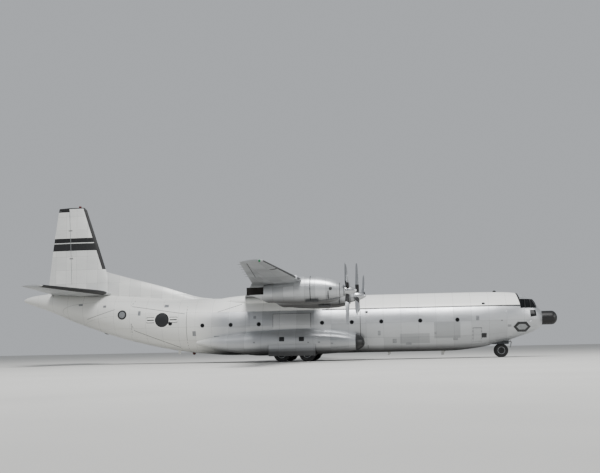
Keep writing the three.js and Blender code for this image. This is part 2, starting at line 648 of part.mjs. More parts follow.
for (const [name, y, plane, z, bladeAngle] of ENGINES) {
  const [lip, throat] = [place(plane + 0.1, y, z), place(plane + ENGINE_FRONT + 0.1, y, z)];
  const intake = bar(lip, throat, INTAKE_RADIUS, INTAKE_RADIUS, 16);
  const outletRoom = block(plane + OUTLET.back - 0.9, plane + OUTLET.back + 1, y - OUTLET.half + OUTLET.wall,
    y + OUTLET.half - OUTLET.wall, z + OUTLET.low + OUTLET.wall, z + OUTLET.high - OUTLET.wall);
  const outletFront = plane + OUTLET.front - SEAT_GAP;
  const outletSpace = block(outletFront, FAR, y - 2, y + 2, z + OUTLET.low - SEAT_GAP, FAR);
  const nacelle = nacelleLoft(y, plane, z).subtract(intake).subtract(engineSolid(y, plane, z, SEAT_GAP))
    .subtract(outletSpace).subtract(bothWings);
  addPiece(`nacelle_${name}`, nacelle, 'metal', 0.4, 0.6);
  addPiece(`engine_${name}`, engineSolid(y, plane, z, 0).subtract(outletRoom), 'black', 0.6, 0.4);
  addPiece(`propeller_${name}`, propeller(y, plane, z, bladeAngle), 'metal', 0.3, 0.8);
}

// Gear pods. Sections: station, top, bottom, outermost y
const POD_SECTIONS = [
  [16.7, 1.75, 1.35, 2.7],
  [16.85, 1.98, 1.15, 3.0],
  [17.42, 2.26, 0.88, 3.35],
  [18.3, 2.52, 0.74, 3.58],
  [19.4, 2.7, 0.64, 3.7],
  [22.0, 2.84, 0.56, 3.75],
  [25.8, 2.72, 0.56, 3.72],
  [28.3, 2.46, 0.92, 3.45],
  [29.8, 2.26, 1.22, 3.1],
  [31.4, 1.95, 1.6, 2.45],
];
const POD_CENTRE_Y = 1.9;
const POD_SIDES = 28;
const POD_CAP_BACK = 17.42;
const BAY = { front: 20.8, back: 24.9, inner: 2.3, outer: 3.55, roof: 1.95, sill: 1.47 };
const POD_WALL = 0.09;

function podForm(rows, inset) {
  return loft(rows.map(([station, top, bottom, outer]) => {
    const ring = [];
    for (let j = 0; j < POD_SIDES; j += 1) {
      const angle = (j / POD_SIDES) * 2 * Math.PI;
      const round = (value) => Math.sign(value) * Math.abs(value) ** 0.8;
      const y = POD_CENTRE_Y + round(Math.sin(angle)) * (outer - inset - POD_CENTRE_Y);
      const drop = round(Math.cos(angle)) * ((top - bottom) / 2 - inset);
      ring.push(place(station, y, (top + bottom) / 2 - drop));
    }
    return ring;
  })).intersect(block(0, FAR, 0.9 + inset, FAR, 0, FAR));
}

const podLoft = podForm(POD_SECTIONS, 0).subtract(bodyClear);
const podRoom = podForm(POD_SECTIONS.slice(3, -1), POD_WALL).subtract(bodyLoft(-POD_WALL));
const podBehindCap = podLoft.intersect(block(POD_CAP_BACK + SEAT_GAP, FAR, 0, FAR, 0, FAR));
const bayRoom = block(BAY.front, BAY.back, BAY.inner, BAY.outer, -1, BAY.roof);
const baySide = block(BAY.front, BAY.back, BAY.inner, FAR, -1, BAY.sill);
addPair('gear_pod', podBehindCap.subtract(podRoom).subtract(bayRoom).subtract(baySide), 'white', 0.45, 0.2);
addPair('pod_cap', podLoft.intersect(block(0, POD_CAP_BACK, 0, FAR, 0, FAR)), 'black', 0.5, 0);
const gearDoor = block(BAY.front + 0.03, BAY.back - 0.03, 3.57, 3.63, 0.5, BAY.sill - SEAT_GAP);
addPair('gear_door', gearDoor, 'metal', 0.4, 0.5);

// Wheels. Tyre and rim profile rows: metres from the wheel's middle plane, radius
function wheelProfile(radius, width, rim) {
  const w = width / 2;
  return [[-w * 0.6, 0], [-w * 0.7, rim], [-w, radius * 0.8], [-w * 0.6, radius],
    [w * 0.6, radius], [w, radius * 0.8], [w * 0.7, rim], [w * 0.6, 0]];
}

// Twin wheels on their axle: the tread is flat across, and its ring is the largest radius
const MAIN_WHEEL = { radius: 0.71, width: 0.42, rim: 0.36, twin: 0.34, axle: 0.08 };
const NOSE_WHEEL = { radius: 0.6, width: 0.3, rim: 0.3, twin: 0.33, axle: 0.06 };
const WHEEL_SIDES = 16;
const AXLE_CLEARANCE = 0.0018;

function twinWheels(station, y, size) {
  const height = size.radius;
  const profile = wheelProfile(size.radius, size.width, size.rim);
  const parts = [-1, 1].map((side) => {
    return turnedAlongY(station, y + side * size.twin, height, profile, WHEEL_SIDES);
  });
  const [near, far] = [-1, 1].map((side) => place(station, y + side * size.twin, height));
  parts.push(bar(near, far, size.axle, size.axle, WHEEL_SIDES));
  return joined(parts);
}

const MAIN_Y = 2.95;
const MAIN_AXLES = [['front', MAIN_GEAR_STATION - 1.1], ['rear', MAIN_GEAR_STATION + 1.1]];
const LEG_RADIUS = 0.115;
const EYE_WALL = 0.06;

function axleEye(station, y, size, halfLength) {
  const [near, far] = [-1, 1].map((side) => place(station, y + side * halfLength, size.radius));
  const outside = size.axle + EYE_WALL;
  return bar(near, far, outside, outside, 16);
}

function axleBore(station, y, size) {
  const bore = size.axle + AXLE_CLEARANCE;
  const [near, far] = [-1, 1].map((side) => place(station, y + side * 0.3, size.radius));
  return bar(near, far, bore, bore, WHEEL_SIDES);
}

// Main leg: a beam held by two cross beams at the pod's inner wall, two struts and an axle eye at each foot
const BEAM = { front: 21.2, back: 24.1, low: 1.62, high: 1.92 };
const CROSS_BEAMS = [[21.4, 21.8], [23.5, 23.9]];
const wallClear = bodyLoft(-POD_WALL - SEAT_GAP);
const legParts = [block(BEAM.front, BEAM.back, MAIN_Y - 0.2, MAIN_Y + 0.2, BEAM.low, BEAM.high)];
for (const [front, back] of CROSS_BEAMS) {
  const crossBeam = block(front, back, POD_CENTRE_Y, MAIN_Y, BEAM.low + 0.04, BEAM.high - 0.02);
  legParts.push(crossBeam.subtract(wallClear));
}
for (const [, station] of MAIN_AXLES) {
  legParts.push(bar(place(station, MAIN_Y, MAIN_WHEEL.radius), place(station, MAIN_Y, 1.7), LEG_RADIUS));
  legParts.push(axleEye(station, MAIN_Y, MAIN_WHEEL, 0.11));
}
let mainLeg = joined(legParts);
for (const [, station] of MAIN_AXLES) mainLeg = mainLeg.subtract(axleBore(station, MAIN_Y, MAIN_WHEEL));
addPair('main_gear_leg', mainLeg, 'steel', 0.4, 0.6);
for (const [where, station] of MAIN_AXLES) {
  addPair(`main_wheels_${where}`, twinWheels(station, MAIN_Y, MAIN_WHEEL), 'rubber', 0.8, 0);
}

// Nose gear: fixed cylinder with its brace and front door, turning piston with the axle eye, twin wheels
const CYLINDER_RADIUS = 0.14;
const PISTON_RADIUS = 0.09;
const CYLINDER_LOW = 0.98;
const NOSE_WELL_ROOF = WELL_TOP - WELL_WALL;
const noseAt = (z, station = NOSE_GEAR_STATION) => place(station, 0, z);
// Front door of the nose gear: station and z down its middle
const NOSE_DOOR_HALF = 0.02;
const NOSE_DOOR_LINE = [[4.12, 1.47], [4.0, 1.3], [4.12, 0.84]];
const noseDoor = loft(NOSE_DOOR_LINE.map(([station, z]) => {
  const [front, back] = [station - NOSE_DOOR_HALF, station + NOSE_DOOR_HALF];
  return [
    place(front, -0.3, z),
    place(front, 0.3, z),
    place(back, 0.3, z),
    place(back, -0.3, z),
  ];
}));
const noseCylinder = joined([
  bar(noseAt(CYLINDER_LOW), noseAt(NOSE_WELL_ROOF - SEAT_GAP), CYLINDER_RADIUS),
  bar(noseAt(1.3), noseAt(2.02, 5.7), 0.06, 0.06, 10),
  block(4.02, 5.0, -0.05, 0.05, 1.29, 1.38),
  noseDoor,
]);
const PISTON_ROOM = PISTON_RADIUS + 0.004;
const pistonRoom = bar(noseAt(CYLINDER_LOW - 0.1), noseAt(1.45), PISTON_ROOM, PISTON_ROOM, 16);
addPiece('nose_gear_leg', noseCylinder.subtract(pistonRoom), 'steel', 0.4, 0.6);
const fork = joined([
  bar(noseAt(NOSE_WHEEL.radius), noseAt(1.45 - SEAT_GAP), PISTON_RADIUS),
  axleEye(NOSE_GEAR_STATION, 0, NOSE_WHEEL, 0.13),
]).subtract(axleBore(NOSE_GEAR_STATION, 0, NOSE_WHEEL));
addPiece('nose_steering_fork', fork, 'steel', 0.3, 0.7);
addPiece('nose_wheels', twinWheels(NOSE_GEAR_STATION, 0, NOSE_WHEEL), 'rubber', 0.8, 0);

// Tail surfaces: a ring at each section, given by its leading and trailing stations
function finRing(z, lead, trail, halfThick, grow = 0, from = 0, to = 1) {
  return airfoilRing(AIRFOIL_POINTS).map(([share, side]) => {
    const x = from + (to - from) * share;
    const chord = trail - lead;
    const rise = side * (halfThickness(x) * 2 * halfThick + (share === 0 || share === 1 ? 0 : grow));
    return place(lead + x * chord, rise, z);
  });
}

// Fin sections: z, leading-edge station, trailing-edge station, half thickness
const FIN_SECTIONS = [
  [6.2, 39.48, 45.83, 0.36],
  [7.4, 39.9, 45.68, 0.32],
  [10.82, 40.99, 45.28, 0.22],
  [14.22, 42.1, 44.78, 0.13],
  [14.47, 42.35, 44.72, 0.09],
];
const RUDDER = { low: 7.36, high: 14.26, topHinge: 43.73, lowHinge: 43.43 };

function finRow(z) {
  const next = Math.max(1, FIN_SECTIONS.findIndex((row) => row[0] >= z));
  const [a, b] = [FIN_SECTIONS[next - 1], FIN_SECTIONS[next]];
  const share = (z - a[0]) / (b[0] - a[0]);
  return a.map((value, k) => value + (b[k] - value) * share);
}

function rudderHinge(z) {
  const share = (z - RUDDER.low) / (RUDDER.high - RUDDER.low);
  return RUDDER.lowHinge + (RUDDER.topHinge - RUDDER.lowHinge) * share;
}

function rudderRadius(z) {
  const [, lead, trail, half] = finRow(z);
  return halfThickness((rudderHinge(z) - lead) / (trail - lead)) * 2 * half;
}

const finWhole = loft(FIN_SECTIONS.map((row) => finRing(...row)));
const FIN_ROOM_FOOT = [6.1, 39.45, 45.84, 0.36];
const finHollow = loft([FIN_ROOM_FOOT, ...FIN_SECTIONS.slice(1, 4)].map(([z, lead, trail, half]) => {
  return finRing(z, lead, trail, half - 0.05, 0, 0.12, 0.52);
})).intersect(block(0, FAR, -3, 3, 0, 13.6));

function rudderPrism(gap) {
  const rings = [RUDDER.low + gap, RUDDER.high - gap].map((z) => {
    const s = rudderHinge(z);
    return [place(s, -2, z), place(s, 2, z), place(s + 4, 2, z), place(s + 4, -2, z)];
  });
  return loft(rings);
}

const rudderEnds = (gap) => [RUDDER.low + gap, RUDDER.high - gap];
const [coveLow, coveHigh] = rudderEnds(0);
const [noseLow, noseHigh] = rudderEnds(RUNNING_GAP);
const rudderCove = bar(place(rudderHinge(coveLow), 0, coveLow), place(rudderHinge(coveHigh), 0, coveHigh),
  rudderRadius(coveLow) * 1.14 + RUNNING_GAP, rudderRadius(coveHigh) * 1.14 + RUNNING_GAP);
const rudderNose = bar(place(rudderHinge(noseLow), 0, noseLow), place(rudderHinge(noseHigh), 0, noseHigh),
  rudderRadius(noseLow) * 0.98, rudderRadius(noseHigh) * 0.98);
const rudderAt = (z) => place(rudderHinge(z), 0, z);
const rudderPins = hingePins(rudderAt(coveLow), rudderAt(coveHigh));
const rudder = finWhole.intersect(rudderPrism(RUNNING_GAP)).add(rudderNose).subtract(rudderPins.bores);
addPiece('rudder', rudder, 'white', 0.5, 0.1);

// Dorsal fillet ahead of the fin. Sections: station, top, half width
const DORSAL_SECTIONS = [
  [30.4, 5.75, 0.12],
  [31.3, 5.86, 0.2],
  [35.13, 7.0, 0.24],
  [39.9, 8.36, 0.2],
  [40.9, 8.7, 0.1],
];
const DORSAL_LOW = 5.3;
const DORSAL_SPREAD = 1.6;
const DORSAL_RIDGE = 0.03;
const dorsal = loft(DORSAL_SECTIONS.map(([station, top, half]) => {
  const shoulder = (top * 2 + DORSAL_LOW) / 3;
  return [
    place(station, -half * DORSAL_SPREAD, DORSAL_LOW),
    place(station, -half, shoulder),
    place(station, -DORSAL_RIDGE, top),
    place(station, DORSAL_RIDGE, top),
    place(station, half, shoulder),
    place(station, half * DORSAL_SPREAD, DORSAL_LOW),
  ];
}));
const finFixed = finWhole.subtract(rudderPrism(0)).subtract(rudderCove).add(rudderPins.pins).add(dorsal)
  .subtract(finHollow).subtract(bodyClear);
addPiece('fin', finFixed, 'white', 0.5, 0.1);

// Tailplane sections: y, leading-edge station, trailing-edge station, z, half thickness
const TAILPLANE_SECTIONS = [
  [0.02, 39.6, 45.25, 6.42, 0.3],
  [1.3, 40.0, 45.2, 6.5, 0.28],
  [9.0, 42.88, 44.82, 6.74, 0.11],
  [9.15, 43.05, 44.7, 6.74, 0.06],
];
const ELEVATOR = { inner: 1.7, outer: 8.85, innerHinge: 42.7, outerHinge: 44.12 };

function tailRow(y) {
  const next = Math.max(1, TAILPLANE_SECTIONS.findIndex((row) => row[0] >= y));
  const [a, b] = [TAILPLANE_SECTIONS[next - 1], TAILPLANE_SECTIONS[next]];
  const share = (y - a[0]) / (b[0] - a[0]);
  return a.map((value, k) => value + (b[k] - value) * share);
}

function tailRing([y, lead, trail, z, half], from = 0, to = 1) {
  return airfoilRing(AIRFOIL_POINTS).map(([share, side]) => {
    const x = from + (to - from) * share;
    return place(lead + x * (trail - lead), y, z + side * halfThickness(x) * 2 * half);
  });
}

function elevatorHinge(y) {
  const share = (y - ELEVATOR.inner) / (ELEVATOR.outer - ELEVATOR.inner);
  const station = ELEVATOR.innerHinge + (ELEVATOR.outerHinge - ELEVATOR.innerHinge) * share;
  return place(station, y, tailRow(y)[3]);
}

function elevatorRadius(y) {
  const [, lead, trail, , half] = tailRow(y);
  const station = LENGTH / 2 - elevatorHinge(y).x / MM_PER_METRE;
  return halfThickness((station - lead) / (trail - lead)) * 2 * half;
}

const tailWhole = loft(TAILPLANE_SECTIONS.map((row) => tailRing(row)));
const tail = twoWay(tailWhole, elevatorHinge, elevatorRadius, ELEVATOR.inner, ELEVATOR.outer);
const TAIL_ROOM_ROOT = [0, 39.6, 45.25, 6.42, 0.25];
const tailRoomRows = TAILPLANE_SECTIONS.slice(1, 3).map(([y, lead, trail, z, half]) => {
  return [y, lead, trail, z, half - 0.045];
});
const tailHollow = loft([TAIL_ROOM_ROOT, ...tailRoomRows].map((row) => tailRing(row, 0.14, 0.42)))
  .intersect(block(0, FAR, -1, 8.4, -FAR, FAR));
const finClear = loft(FIN_SECTIONS.map(([z, lead, trail, half]) => finRing(z, lead, trail, half, SEAT_GAP)));
const dorsalClear = block(30, 41.2, -0.4, 0.4, 5, 9);
const stabilizer = [tailHollow, finClear, mirrored(finClear), dorsalClear, bodyClear]
  .reduce((solid, room) => solid.subtract(room), tail.fixed);
addPair('tailplane', stabilizer, 'white', 0.5, 0.1);
addPair('elevator', tail.panel, 'white', 0.5, 0.1);

export default group;
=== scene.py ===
"""Looks of the 1:2 model of a four-turboprop transport plane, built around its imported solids.

Lengths in the section tables are metres of the full-size aircraft, as in the part's source. A station is a
distance aft of the radome's tip, and at() turns station, y and z into a model point in metres.
"""
from math import asin, atan2, copysign, cos, hypot, pi, radians, sin, sqrt

import bmesh
import bpy
import numpy as np
from mathutils import Matrix, Vector


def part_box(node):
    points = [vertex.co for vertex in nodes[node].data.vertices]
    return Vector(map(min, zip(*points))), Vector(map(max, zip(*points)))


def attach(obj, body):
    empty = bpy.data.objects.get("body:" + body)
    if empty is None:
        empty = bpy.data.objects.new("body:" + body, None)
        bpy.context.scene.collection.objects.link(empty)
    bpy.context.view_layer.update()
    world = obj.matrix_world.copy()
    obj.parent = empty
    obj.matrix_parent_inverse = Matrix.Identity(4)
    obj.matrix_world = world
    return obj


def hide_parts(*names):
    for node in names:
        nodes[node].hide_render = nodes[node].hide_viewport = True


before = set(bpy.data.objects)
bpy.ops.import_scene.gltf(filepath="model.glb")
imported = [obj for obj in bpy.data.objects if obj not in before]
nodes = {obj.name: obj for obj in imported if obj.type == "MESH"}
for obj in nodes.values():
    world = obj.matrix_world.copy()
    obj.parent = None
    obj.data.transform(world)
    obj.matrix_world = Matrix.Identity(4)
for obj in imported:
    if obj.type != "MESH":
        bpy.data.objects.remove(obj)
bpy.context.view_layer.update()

# Fuselage skin: pressed aluminium sheet about 1.5 mm thick, riveted to hoop frames and lengthwise stringers.
# It is built in five barrels that meet at butt seams. The upper half is enamelled white down to a black line
# on each side, the rest is left bare, and the aft body is painted paler, a painted highlight for its sunlit
# side.
MODEL_SCALE = 0.5
LENGTH = (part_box("radome")[1].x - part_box("tail_fuselage")[0].x) / MODEL_SCALE
WALL = 0.13
BODY_ROWS = [
    (1.36, 3.95, 2.75, 0.6), (1.62, 4.3, 2.48, 0.95), (2.12, 5.02, 2.18, 1.4), (3.3, 5.52, 1.78, 1.95),
    (4.3, 5.64, 1.44, 2.2), (5.6, 5.69, 1.12, 2.4), (7.2, 5.71, 0.84, 2.5), (9.4, 5.72, 0.66, 2.53),
    (28.5, 5.72, 0.65, 2.53), (31.0, 5.74, 0.82, 2.5), (33.27, 5.8, 1.1, 2.44), (37.7, 6.1, 2.06, 2.1),
    (40.84, 6.38, 3.05, 1.65), (43.5, 6.52, 4.05, 1.2), (45.1, 6.56, 4.77, 0.88), (46.8, 6.42, 5.4, 0.5),
    (47.75, 6.2, 5.76, 0.22), (48.02, 6.06, 5.9, 0.08),
]
AROUND_BODY = 96
NOSE_END, FORWARD_END, CENTRE_END, AFT_END = 8.2, 16.6, 28.5, 38.2
RUNNING_GAP = 0.012
SIDES = (-1, "starboard"), (1, "port")


def at(station, y, z):
    """Model point for a full-size station, y to port and z up."""
    return Vector(((LENGTH / 2 - station) * MODEL_SCALE, y * MODEL_SCALE, z * MODEL_SCALE))


def x_of(station):
    return at(station, 0, 0).x


def circle(count):
    """Even angles once around."""
    return [2 * pi * k / count for k in range(count)]


def eased(rows, value):
    """Row of a section table at a value of its first column, on a smooth curve that never overshoots."""
    table = np.array(rows, float)
    x = table[:, 0]
    step = np.diff(x)[:, None]
    rise = np.diff(table, axis=0) / step
    slope = np.zeros_like(table)
    slope[0], slope[-1] = rise[0], rise[-1]
    both = rise[:-1] * rise[1:]
    slope[1:-1] = np.where(both > 0, 2 * both / np.where(both > 0, rise[:-1] + rise[1:], 1), 0)
    k = int(np.clip(np.searchsorted(x, value) - 1, 0, len(x) - 2))
    t = (value - x[k]) / step[k, 0]
    cubic = ((1 + 2 * t) * (1 - t) ** 2 * table[k] + t * (1 - t) ** 2 * step[k, 0] * slope[k]
             + t * t * (3 - 2 * t) * table[k + 1] + t * t * (t - 1) * step[k, 0] * slope[k + 1])
    return cubic


def ellipse_ring(station, top, bottom, half, y=0.0, inset=0.0, count=AROUND_BODY):
    """Upright elliptical ring around a long body."""
    middle = (top + bottom) / 2
    return [at(station, y + sin(a) * (half - inset), middle - cos(a) * ((top - bottom) / 2 - inset))
            for a in circle(count)]


def body_ring(station, inset=0.0):
    return ellipse_ring(*eased(BODY_ROWS, station), inset=inset)


def placed(name, data):
    """Object of the scene that holds the data."""
    thing = bpy.data.objects.new(name, data)
    bpy.context.scene.collection.objects.link(thing)
    return thing


def lofted(name, rings, looped=False, ribbed=False):
    """Mesh object through rings of points, closed by end caps, or joined last ring to first where looped.

    A ribbed cap runs in slats from the upper edge to the lower one, and so keeps an end that is bent.
    """
    count = len(rings[0])
    faces = []
    for i in range(len(rings) if looped else len(rings) - 1):
        a, b = i * count, ((i + 1) % len(rings)) * count
        faces += [(a + j, a + (j + 1) % count, b + (j + 1) % count, b + j) for j in range(count)]
    last = (len(rings) - 1) * count
    if ribbed:
        slats = [tuple(dict.fromkeys((j, j + 1, count - 2 - j, count - 1 - j))) for j in range(count // 2)]
        faces += [slat[::-1] for slat in slats] + [tuple(last + j for j in slat) for slat in slats]
    elif not looped:
        faces += [tuple(reversed(range(count))), tuple(range(last, last + count))]
    mesh = bpy.data.meshes.new(name)
    mesh.from_pydata([tuple(p) for ring in rings for p in ring], [], faces)
    work = bmesh.new()
    work.from_mesh(mesh)
    bmesh.ops.remove_doubles(work, verts=work.verts, dist=1e-5)
    bmesh.ops.recalc_face_normals(work, faces=work.faces)
    work.to_mesh(mesh)
    work.free()
    return placed(name, mesh)


def fitted(thing, material, body, *stands_for):
    """Finishes a piece: material, smooth shading up to a crease, body it rides on, solids it stands for."""
    crease = radians(32)
    thing.data.materials.clear()
    thing.data.materials.append(material)
    thing.data.shade_smooth()
    thing.data.set_sharp_from_angle(angle=crease)
    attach(thing, body)
    if stands_for:
        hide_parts(*stands_for)
    return thing


def linear(code):
    """sRGB hex colour as linear RGBA."""
    channels = [int(code[k:k + 2], 16) / 255 for k in (1, 3, 5)]
    return [c / 12.92 if c <= 0.04045 else ((c + 0.055) / 1.055) ** 2.4 for c in channels] + [1]


def add(tree, kind, inputs=None, **settings):
    """Adds a shader node, with its settings, and its inputs given as values or as sockets to link."""
    made = tree.nodes.new("ShaderNode" + kind)
    for key, value in settings.items():
        setattr(made, key, value)
    for key, value in (inputs or {}).items():
        if isinstance(value, bpy.types.NodeSocket):
            tree.links.new(value, made.inputs[key])
        else:
            made.inputs[key].default_value = value
    return made


def new_material(name):
    """Empty node material with its output, and the model's own coordinates in metres."""
    material = bpy.data.materials.new(name)
    material.use_nodes = True
    tree = material.node_tree
    tree.nodes.clear()
    place = add(tree, "TexCoord").outputs["Object"]
    return material, tree, place


def shaded(tree, sockets, bump=None):
    """Principled shader on the material's output, with its bump."""
    shader = add(tree, "BsdfPrincipled", sockets)
    if bump:
        tree.links.new(bump, shader.inputs["Normal"])
    add(tree, "OutputMaterial", {"Surface": shader.outputs[0]})


def blended(tree, share, low, high, coloured=False):
    """Mix from the low value to the high one, each a value or a socket."""
    mix = add(tree, "Mix", data_type="RGBA" if coloured else "FLOAT")
    kind = "Color" if coloured else "Float"
    sides = {socket.identifier: socket for socket in mix.inputs}
    for side, value in (("Factor_Float", share), (f"A_{kind}", low), (f"B_{kind}", high)):
        if isinstance(value, bpy.types.NodeSocket):
            tree.links.new(value, sides[side])
        else:
            sides[side].default_value = value
    return [socket for socket in mix.outputs if socket.identifier == f"Result_{kind}"][0]


def painted(tree, look, mask, colour, rough, metallic=0.0):
    """Look with a paint laid over it where the mask is 1."""
    over = {"Base Color": linear(colour), "Metallic": metallic, "Roughness": rough}
    return {key: blended(tree, mask, look[key], over[key], key == "Base Color") for key in over}


def within(tree, value, low, high):
    """Mask that is 1 where the value lies between low and high."""
    inputs = {0: value, 1: (low + high) / 2, 2: (high - low) / 2}
    return add(tree, "Math", inputs, operation="COMPARE").outputs[0]


def slanted(tree, across, slope, along):
    """Value that stays level along a line whose x falls by the slope across the aircraft or up it."""
    return add(tree, "Math", {0: across, 1: slope, 2: along}, operation="MULTIPLY_ADD").outputs[0]


def together(tree, *masks):
    """Mask that is 1 where all of the masks are 1."""
    whole = masks[0]
    for mask in masks[1:]:
        whole = add(tree, "Math", {0: whole, 1: mask}, operation="MULTIPLY").outputs[0]
    return whole


def riveted_sheet(name, tones, metallic, rough, across, pitches, paint):
    """Riveted aluminium sheet: seams every pitch along and across, with rivet rows beside them.

    Each panel has a shade of its own, as rolled sheet does, and slow waves where the thin sheet bulges
    between its frames. A 4 mm rivet head is too fine to show, so it is drawn 8 mm across, every 50 mm.
    """
    seam, rivet_row, rivet, rivet_pitch = 0.003, 0.014, 0.004, 0.05
    streaks_per_metre, bulges_per_metre, waviness = 1.1, 3.0, 0.003
    material, tree, place = new_material(name)
    xyz = add(tree, "SeparateXYZ", {0: place}).outputs
    along, side = xyz[0], across(tree, xyz)
    distance = [add(tree, "Math", {0: value, 1: pitch / 2}, operation="PINGPONG").outputs[0]
                for value, pitch in zip((along, side), pitches)]
    dots = [add(tree, "Math", {0: value, 1: rivet_pitch / 2}, operation="PINGPONG").outputs[0]
            for value in (along, side)]
    seams = [add(tree, "Math", {0: d, 1: seam}, operation="LESS_THAN").outputs[0] for d in distance]
    rows = [together(tree, within(tree, distance[k], rivet_row - rivet, rivet_row + rivet),
                     within(tree, dots[1 - k], -rivet, rivet)) for k in (0, 1)]
    lines = add(tree, "Math", {0: seams[0], 1: seams[1]}, operation="MAXIMUM").outputs[0]
    heads = add(tree, "Math", {0: rows[0], 1: rows[1]}, operation="MAXIMUM").outputs[0]
    cells = [add(tree, "Math", {0: value, 1: pitch}, operation="SNAP").outputs[0]
             for value, pitch in zip((along, side), pitches)]
    cell = add(tree, "CombineXYZ", {0: cells[0], 1: cells[1]}).outputs[0]
    shade = add(tree, "TexWhiteNoise", {0: cell}, noise_dimensions="3D").outputs["Value"]
    stretch = add(tree, "Mapping", {"Vector": place, "Scale": (0.7, 1.6, 3.2)}).outputs[0]
    grime = add(tree, "TexNoise",
                {"Vector": stretch, "Scale": streaks_per_metre, "Detail": 6.0, "Roughness": 0.62})
    worn = add(tree, "Math", {0: grime.outputs[0], 1: 0.9, 2: shade}, operation="MULTIPLY_ADD").outputs[0]
    tone = add(tree, "MapRange", {0: worn, 1: 0.1, 2: 1.6}).outputs[0]
    colour = blended(tree, tone, linear(tones[0]), linear(tones[1]), True)
    dull = add(tree, "MapRange", {0: grime.outputs[0], 1: 0.3, 2: 0.7, 3: rough[0], 4: rough[1]})
    look = {"Base Color": colour, "Metallic": metallic, "Roughness": dull.outputs[0]}
    look = paint(tree, xyz, look)
    marks = add(tree, "Math", {0: heads, 1: 0.35, 2: lines}, operation="MULTIPLY_ADD")
    faded = add(tree, "Math", {0: marks.outputs[0], 1: 0.55}, operation="MULTIPLY").outputs[0]
    look = painted(tree, look, faded, "#3a3a38", 0.6)
    wave = add(tree, "TexNoise", {"Vector": place, "Scale": bulges_per_metre, "Detail": 1.0}).outputs[0]
    pressed = add(tree, "Math", {0: lines, 1: -0.5, 2: wave}, operation="MULTIPLY_ADD").outputs[0]
    bump = add(tree, "Bump", {"Height": pressed, "Distance": waviness, "Strength": 0.8}).outputs[0]
    shaded(tree, look, bump)
    return material


def around_body(tree, xyz):
    """Arc length around the body's middle line, for the stringer seams."""
    body_middle, body_radius = 1.59, 1.26
    up = add(tree, "Math", {0: xyz[2], 1: body_middle}, operation="SUBTRACT").outputs[0]
    angle = add(tree, "Math", {0: xyz[1], 1: up}, operation="ARCTAN2").outputs[0]
    return add(tree, "Math", {0: angle, 1: body_radius}, operation="MULTIPLY").outputs[0]


def body_paint(tree, xyz, look):
    """White crown, black side line with a slanted front, propeller stripe, painted tail highlight and belly
    shade.
    """
    line_z, line_half, line_front, line_back = 4.42, 0.055, 3.25, 20.3
    slant, stripe, stripe_low, stripe_high = 0.23, 17.0, 1.2, 4.36
    x, z = xyz[0], xyz[2]
    front, back = x_of(line_front), x_of(line_back)
    level = line_z * MODEL_SCALE
    crown = add(tree, "Math", {0: z, 1: level}, operation="GREATER_THAN").outputs[0]
    lean = slanted(tree, z, slant, x)
    edge = front + slant * level
    white = together(tree, crown, within(tree, lean, -99, edge))
    look = painted(tree, look, white, "#eeeeea", 0.34)
    # Painted highlight: from station 29 aft the whole body turns paler, for the sunlit brightness of the
    # tail.
    tail = add(tree, "MapRange", {0: x, 1: x_of(29.0), 2: x_of(31.5)}).outputs[0]
    look = painted(tree, look, tail, "#dcdcd8", 0.4, 0.25)
    lengthwise = together(tree, within(tree, z, level - line_half / 2, level + line_half / 2),
                          within(tree, x, back, front))
    post = together(tree, crown, within(tree, lean, edge - 0.03, edge + 0.05))
    warning = together(tree, within(tree, x, x_of(stripe) - 0.012, x_of(stripe) + 0.012),
                       within(tree, z, stripe_low * MODEL_SCALE, stripe_high * MODEL_SCALE))
    frames = together(tree, within(tree, x, x_of(3.31), x_of(1.86)), within(tree, z, 2.09, 2.49))
    for mask in (lengthwise, post, warning, frames):
        look = painted(tree, look, mask, "#101011", 0.4)
    newer_panels = [(8.48, 10.7, 1.75, 3.14, 0.34), (11.1, 13.63, 1.36, 2.2, 0.3),
                    (26.6, 28.4, 3.0, 4.3, 0.15), (21.3, 24.6, 2.86, 4.15, -0.3)]
    for front, back, low, high, shade in newer_panels:
        area = together(tree, within(tree, x, x_of(back), x_of(front)),
                        within(tree, z, low * MODEL_SCALE, high * MODEL_SCALE))
        part = add(tree, "Math", {0: area, 1: abs(shade)}, operation="MULTIPLY").outputs[0]
        look = painted(tree, look, part, "#55585a" if shade > 0 else "#e8e8e6", 0.42, 0.6)
    # Painted shade: the belly darkens towards the bottom, fading out aft of station 29, where shade falls
    # under the body.
    painted_underside_shade = add(tree, "MapRange", {0: z, 1: 0.66, 2: 0.42, 3: 0.0, 4: 0.85}).outputs[0]
    ahead = add(tree, "MapRange", {0: x, 1: -3.6, 2: -2.6}).outputs[0]
    return painted(tree, look, together(tree, painted_underside_shade, ahead), "#262422", 0.6)


# Rolled sheet kept bare and washed: pale, half bright, and mottled from panel to panel.
body_skin = riveted_sheet("bare_and_enamelled_aluminium", ("#a3a5a7", "#c3c5c7"), 0.7, (0.32, 0.44),
                          around_body, (0.75, 0.66), body_paint)


def shell_rings(front, back, front_closed=False, back_closed=False):
    """Rings of a body barrel: along the outside, then back along the inside."""
    fine = 0.12 if front_closed else 0.25
    stations = list(np.arange(front, back, fine)) + [back]
    outside = [body_ring(s) for s in stations]
    inner_front, inner_back = (1.75 if front_closed else front), (46.0 if back_closed else back)
    inside = [body_ring(s, WALL) for s in stations if inner_front < s < inner_back]
    inside = [body_ring(inner_front, WALL)] + inside + [body_ring(inner_back, WALL)]
    return inside[::-1] + outside if back_closed else outside + inside[::-1]


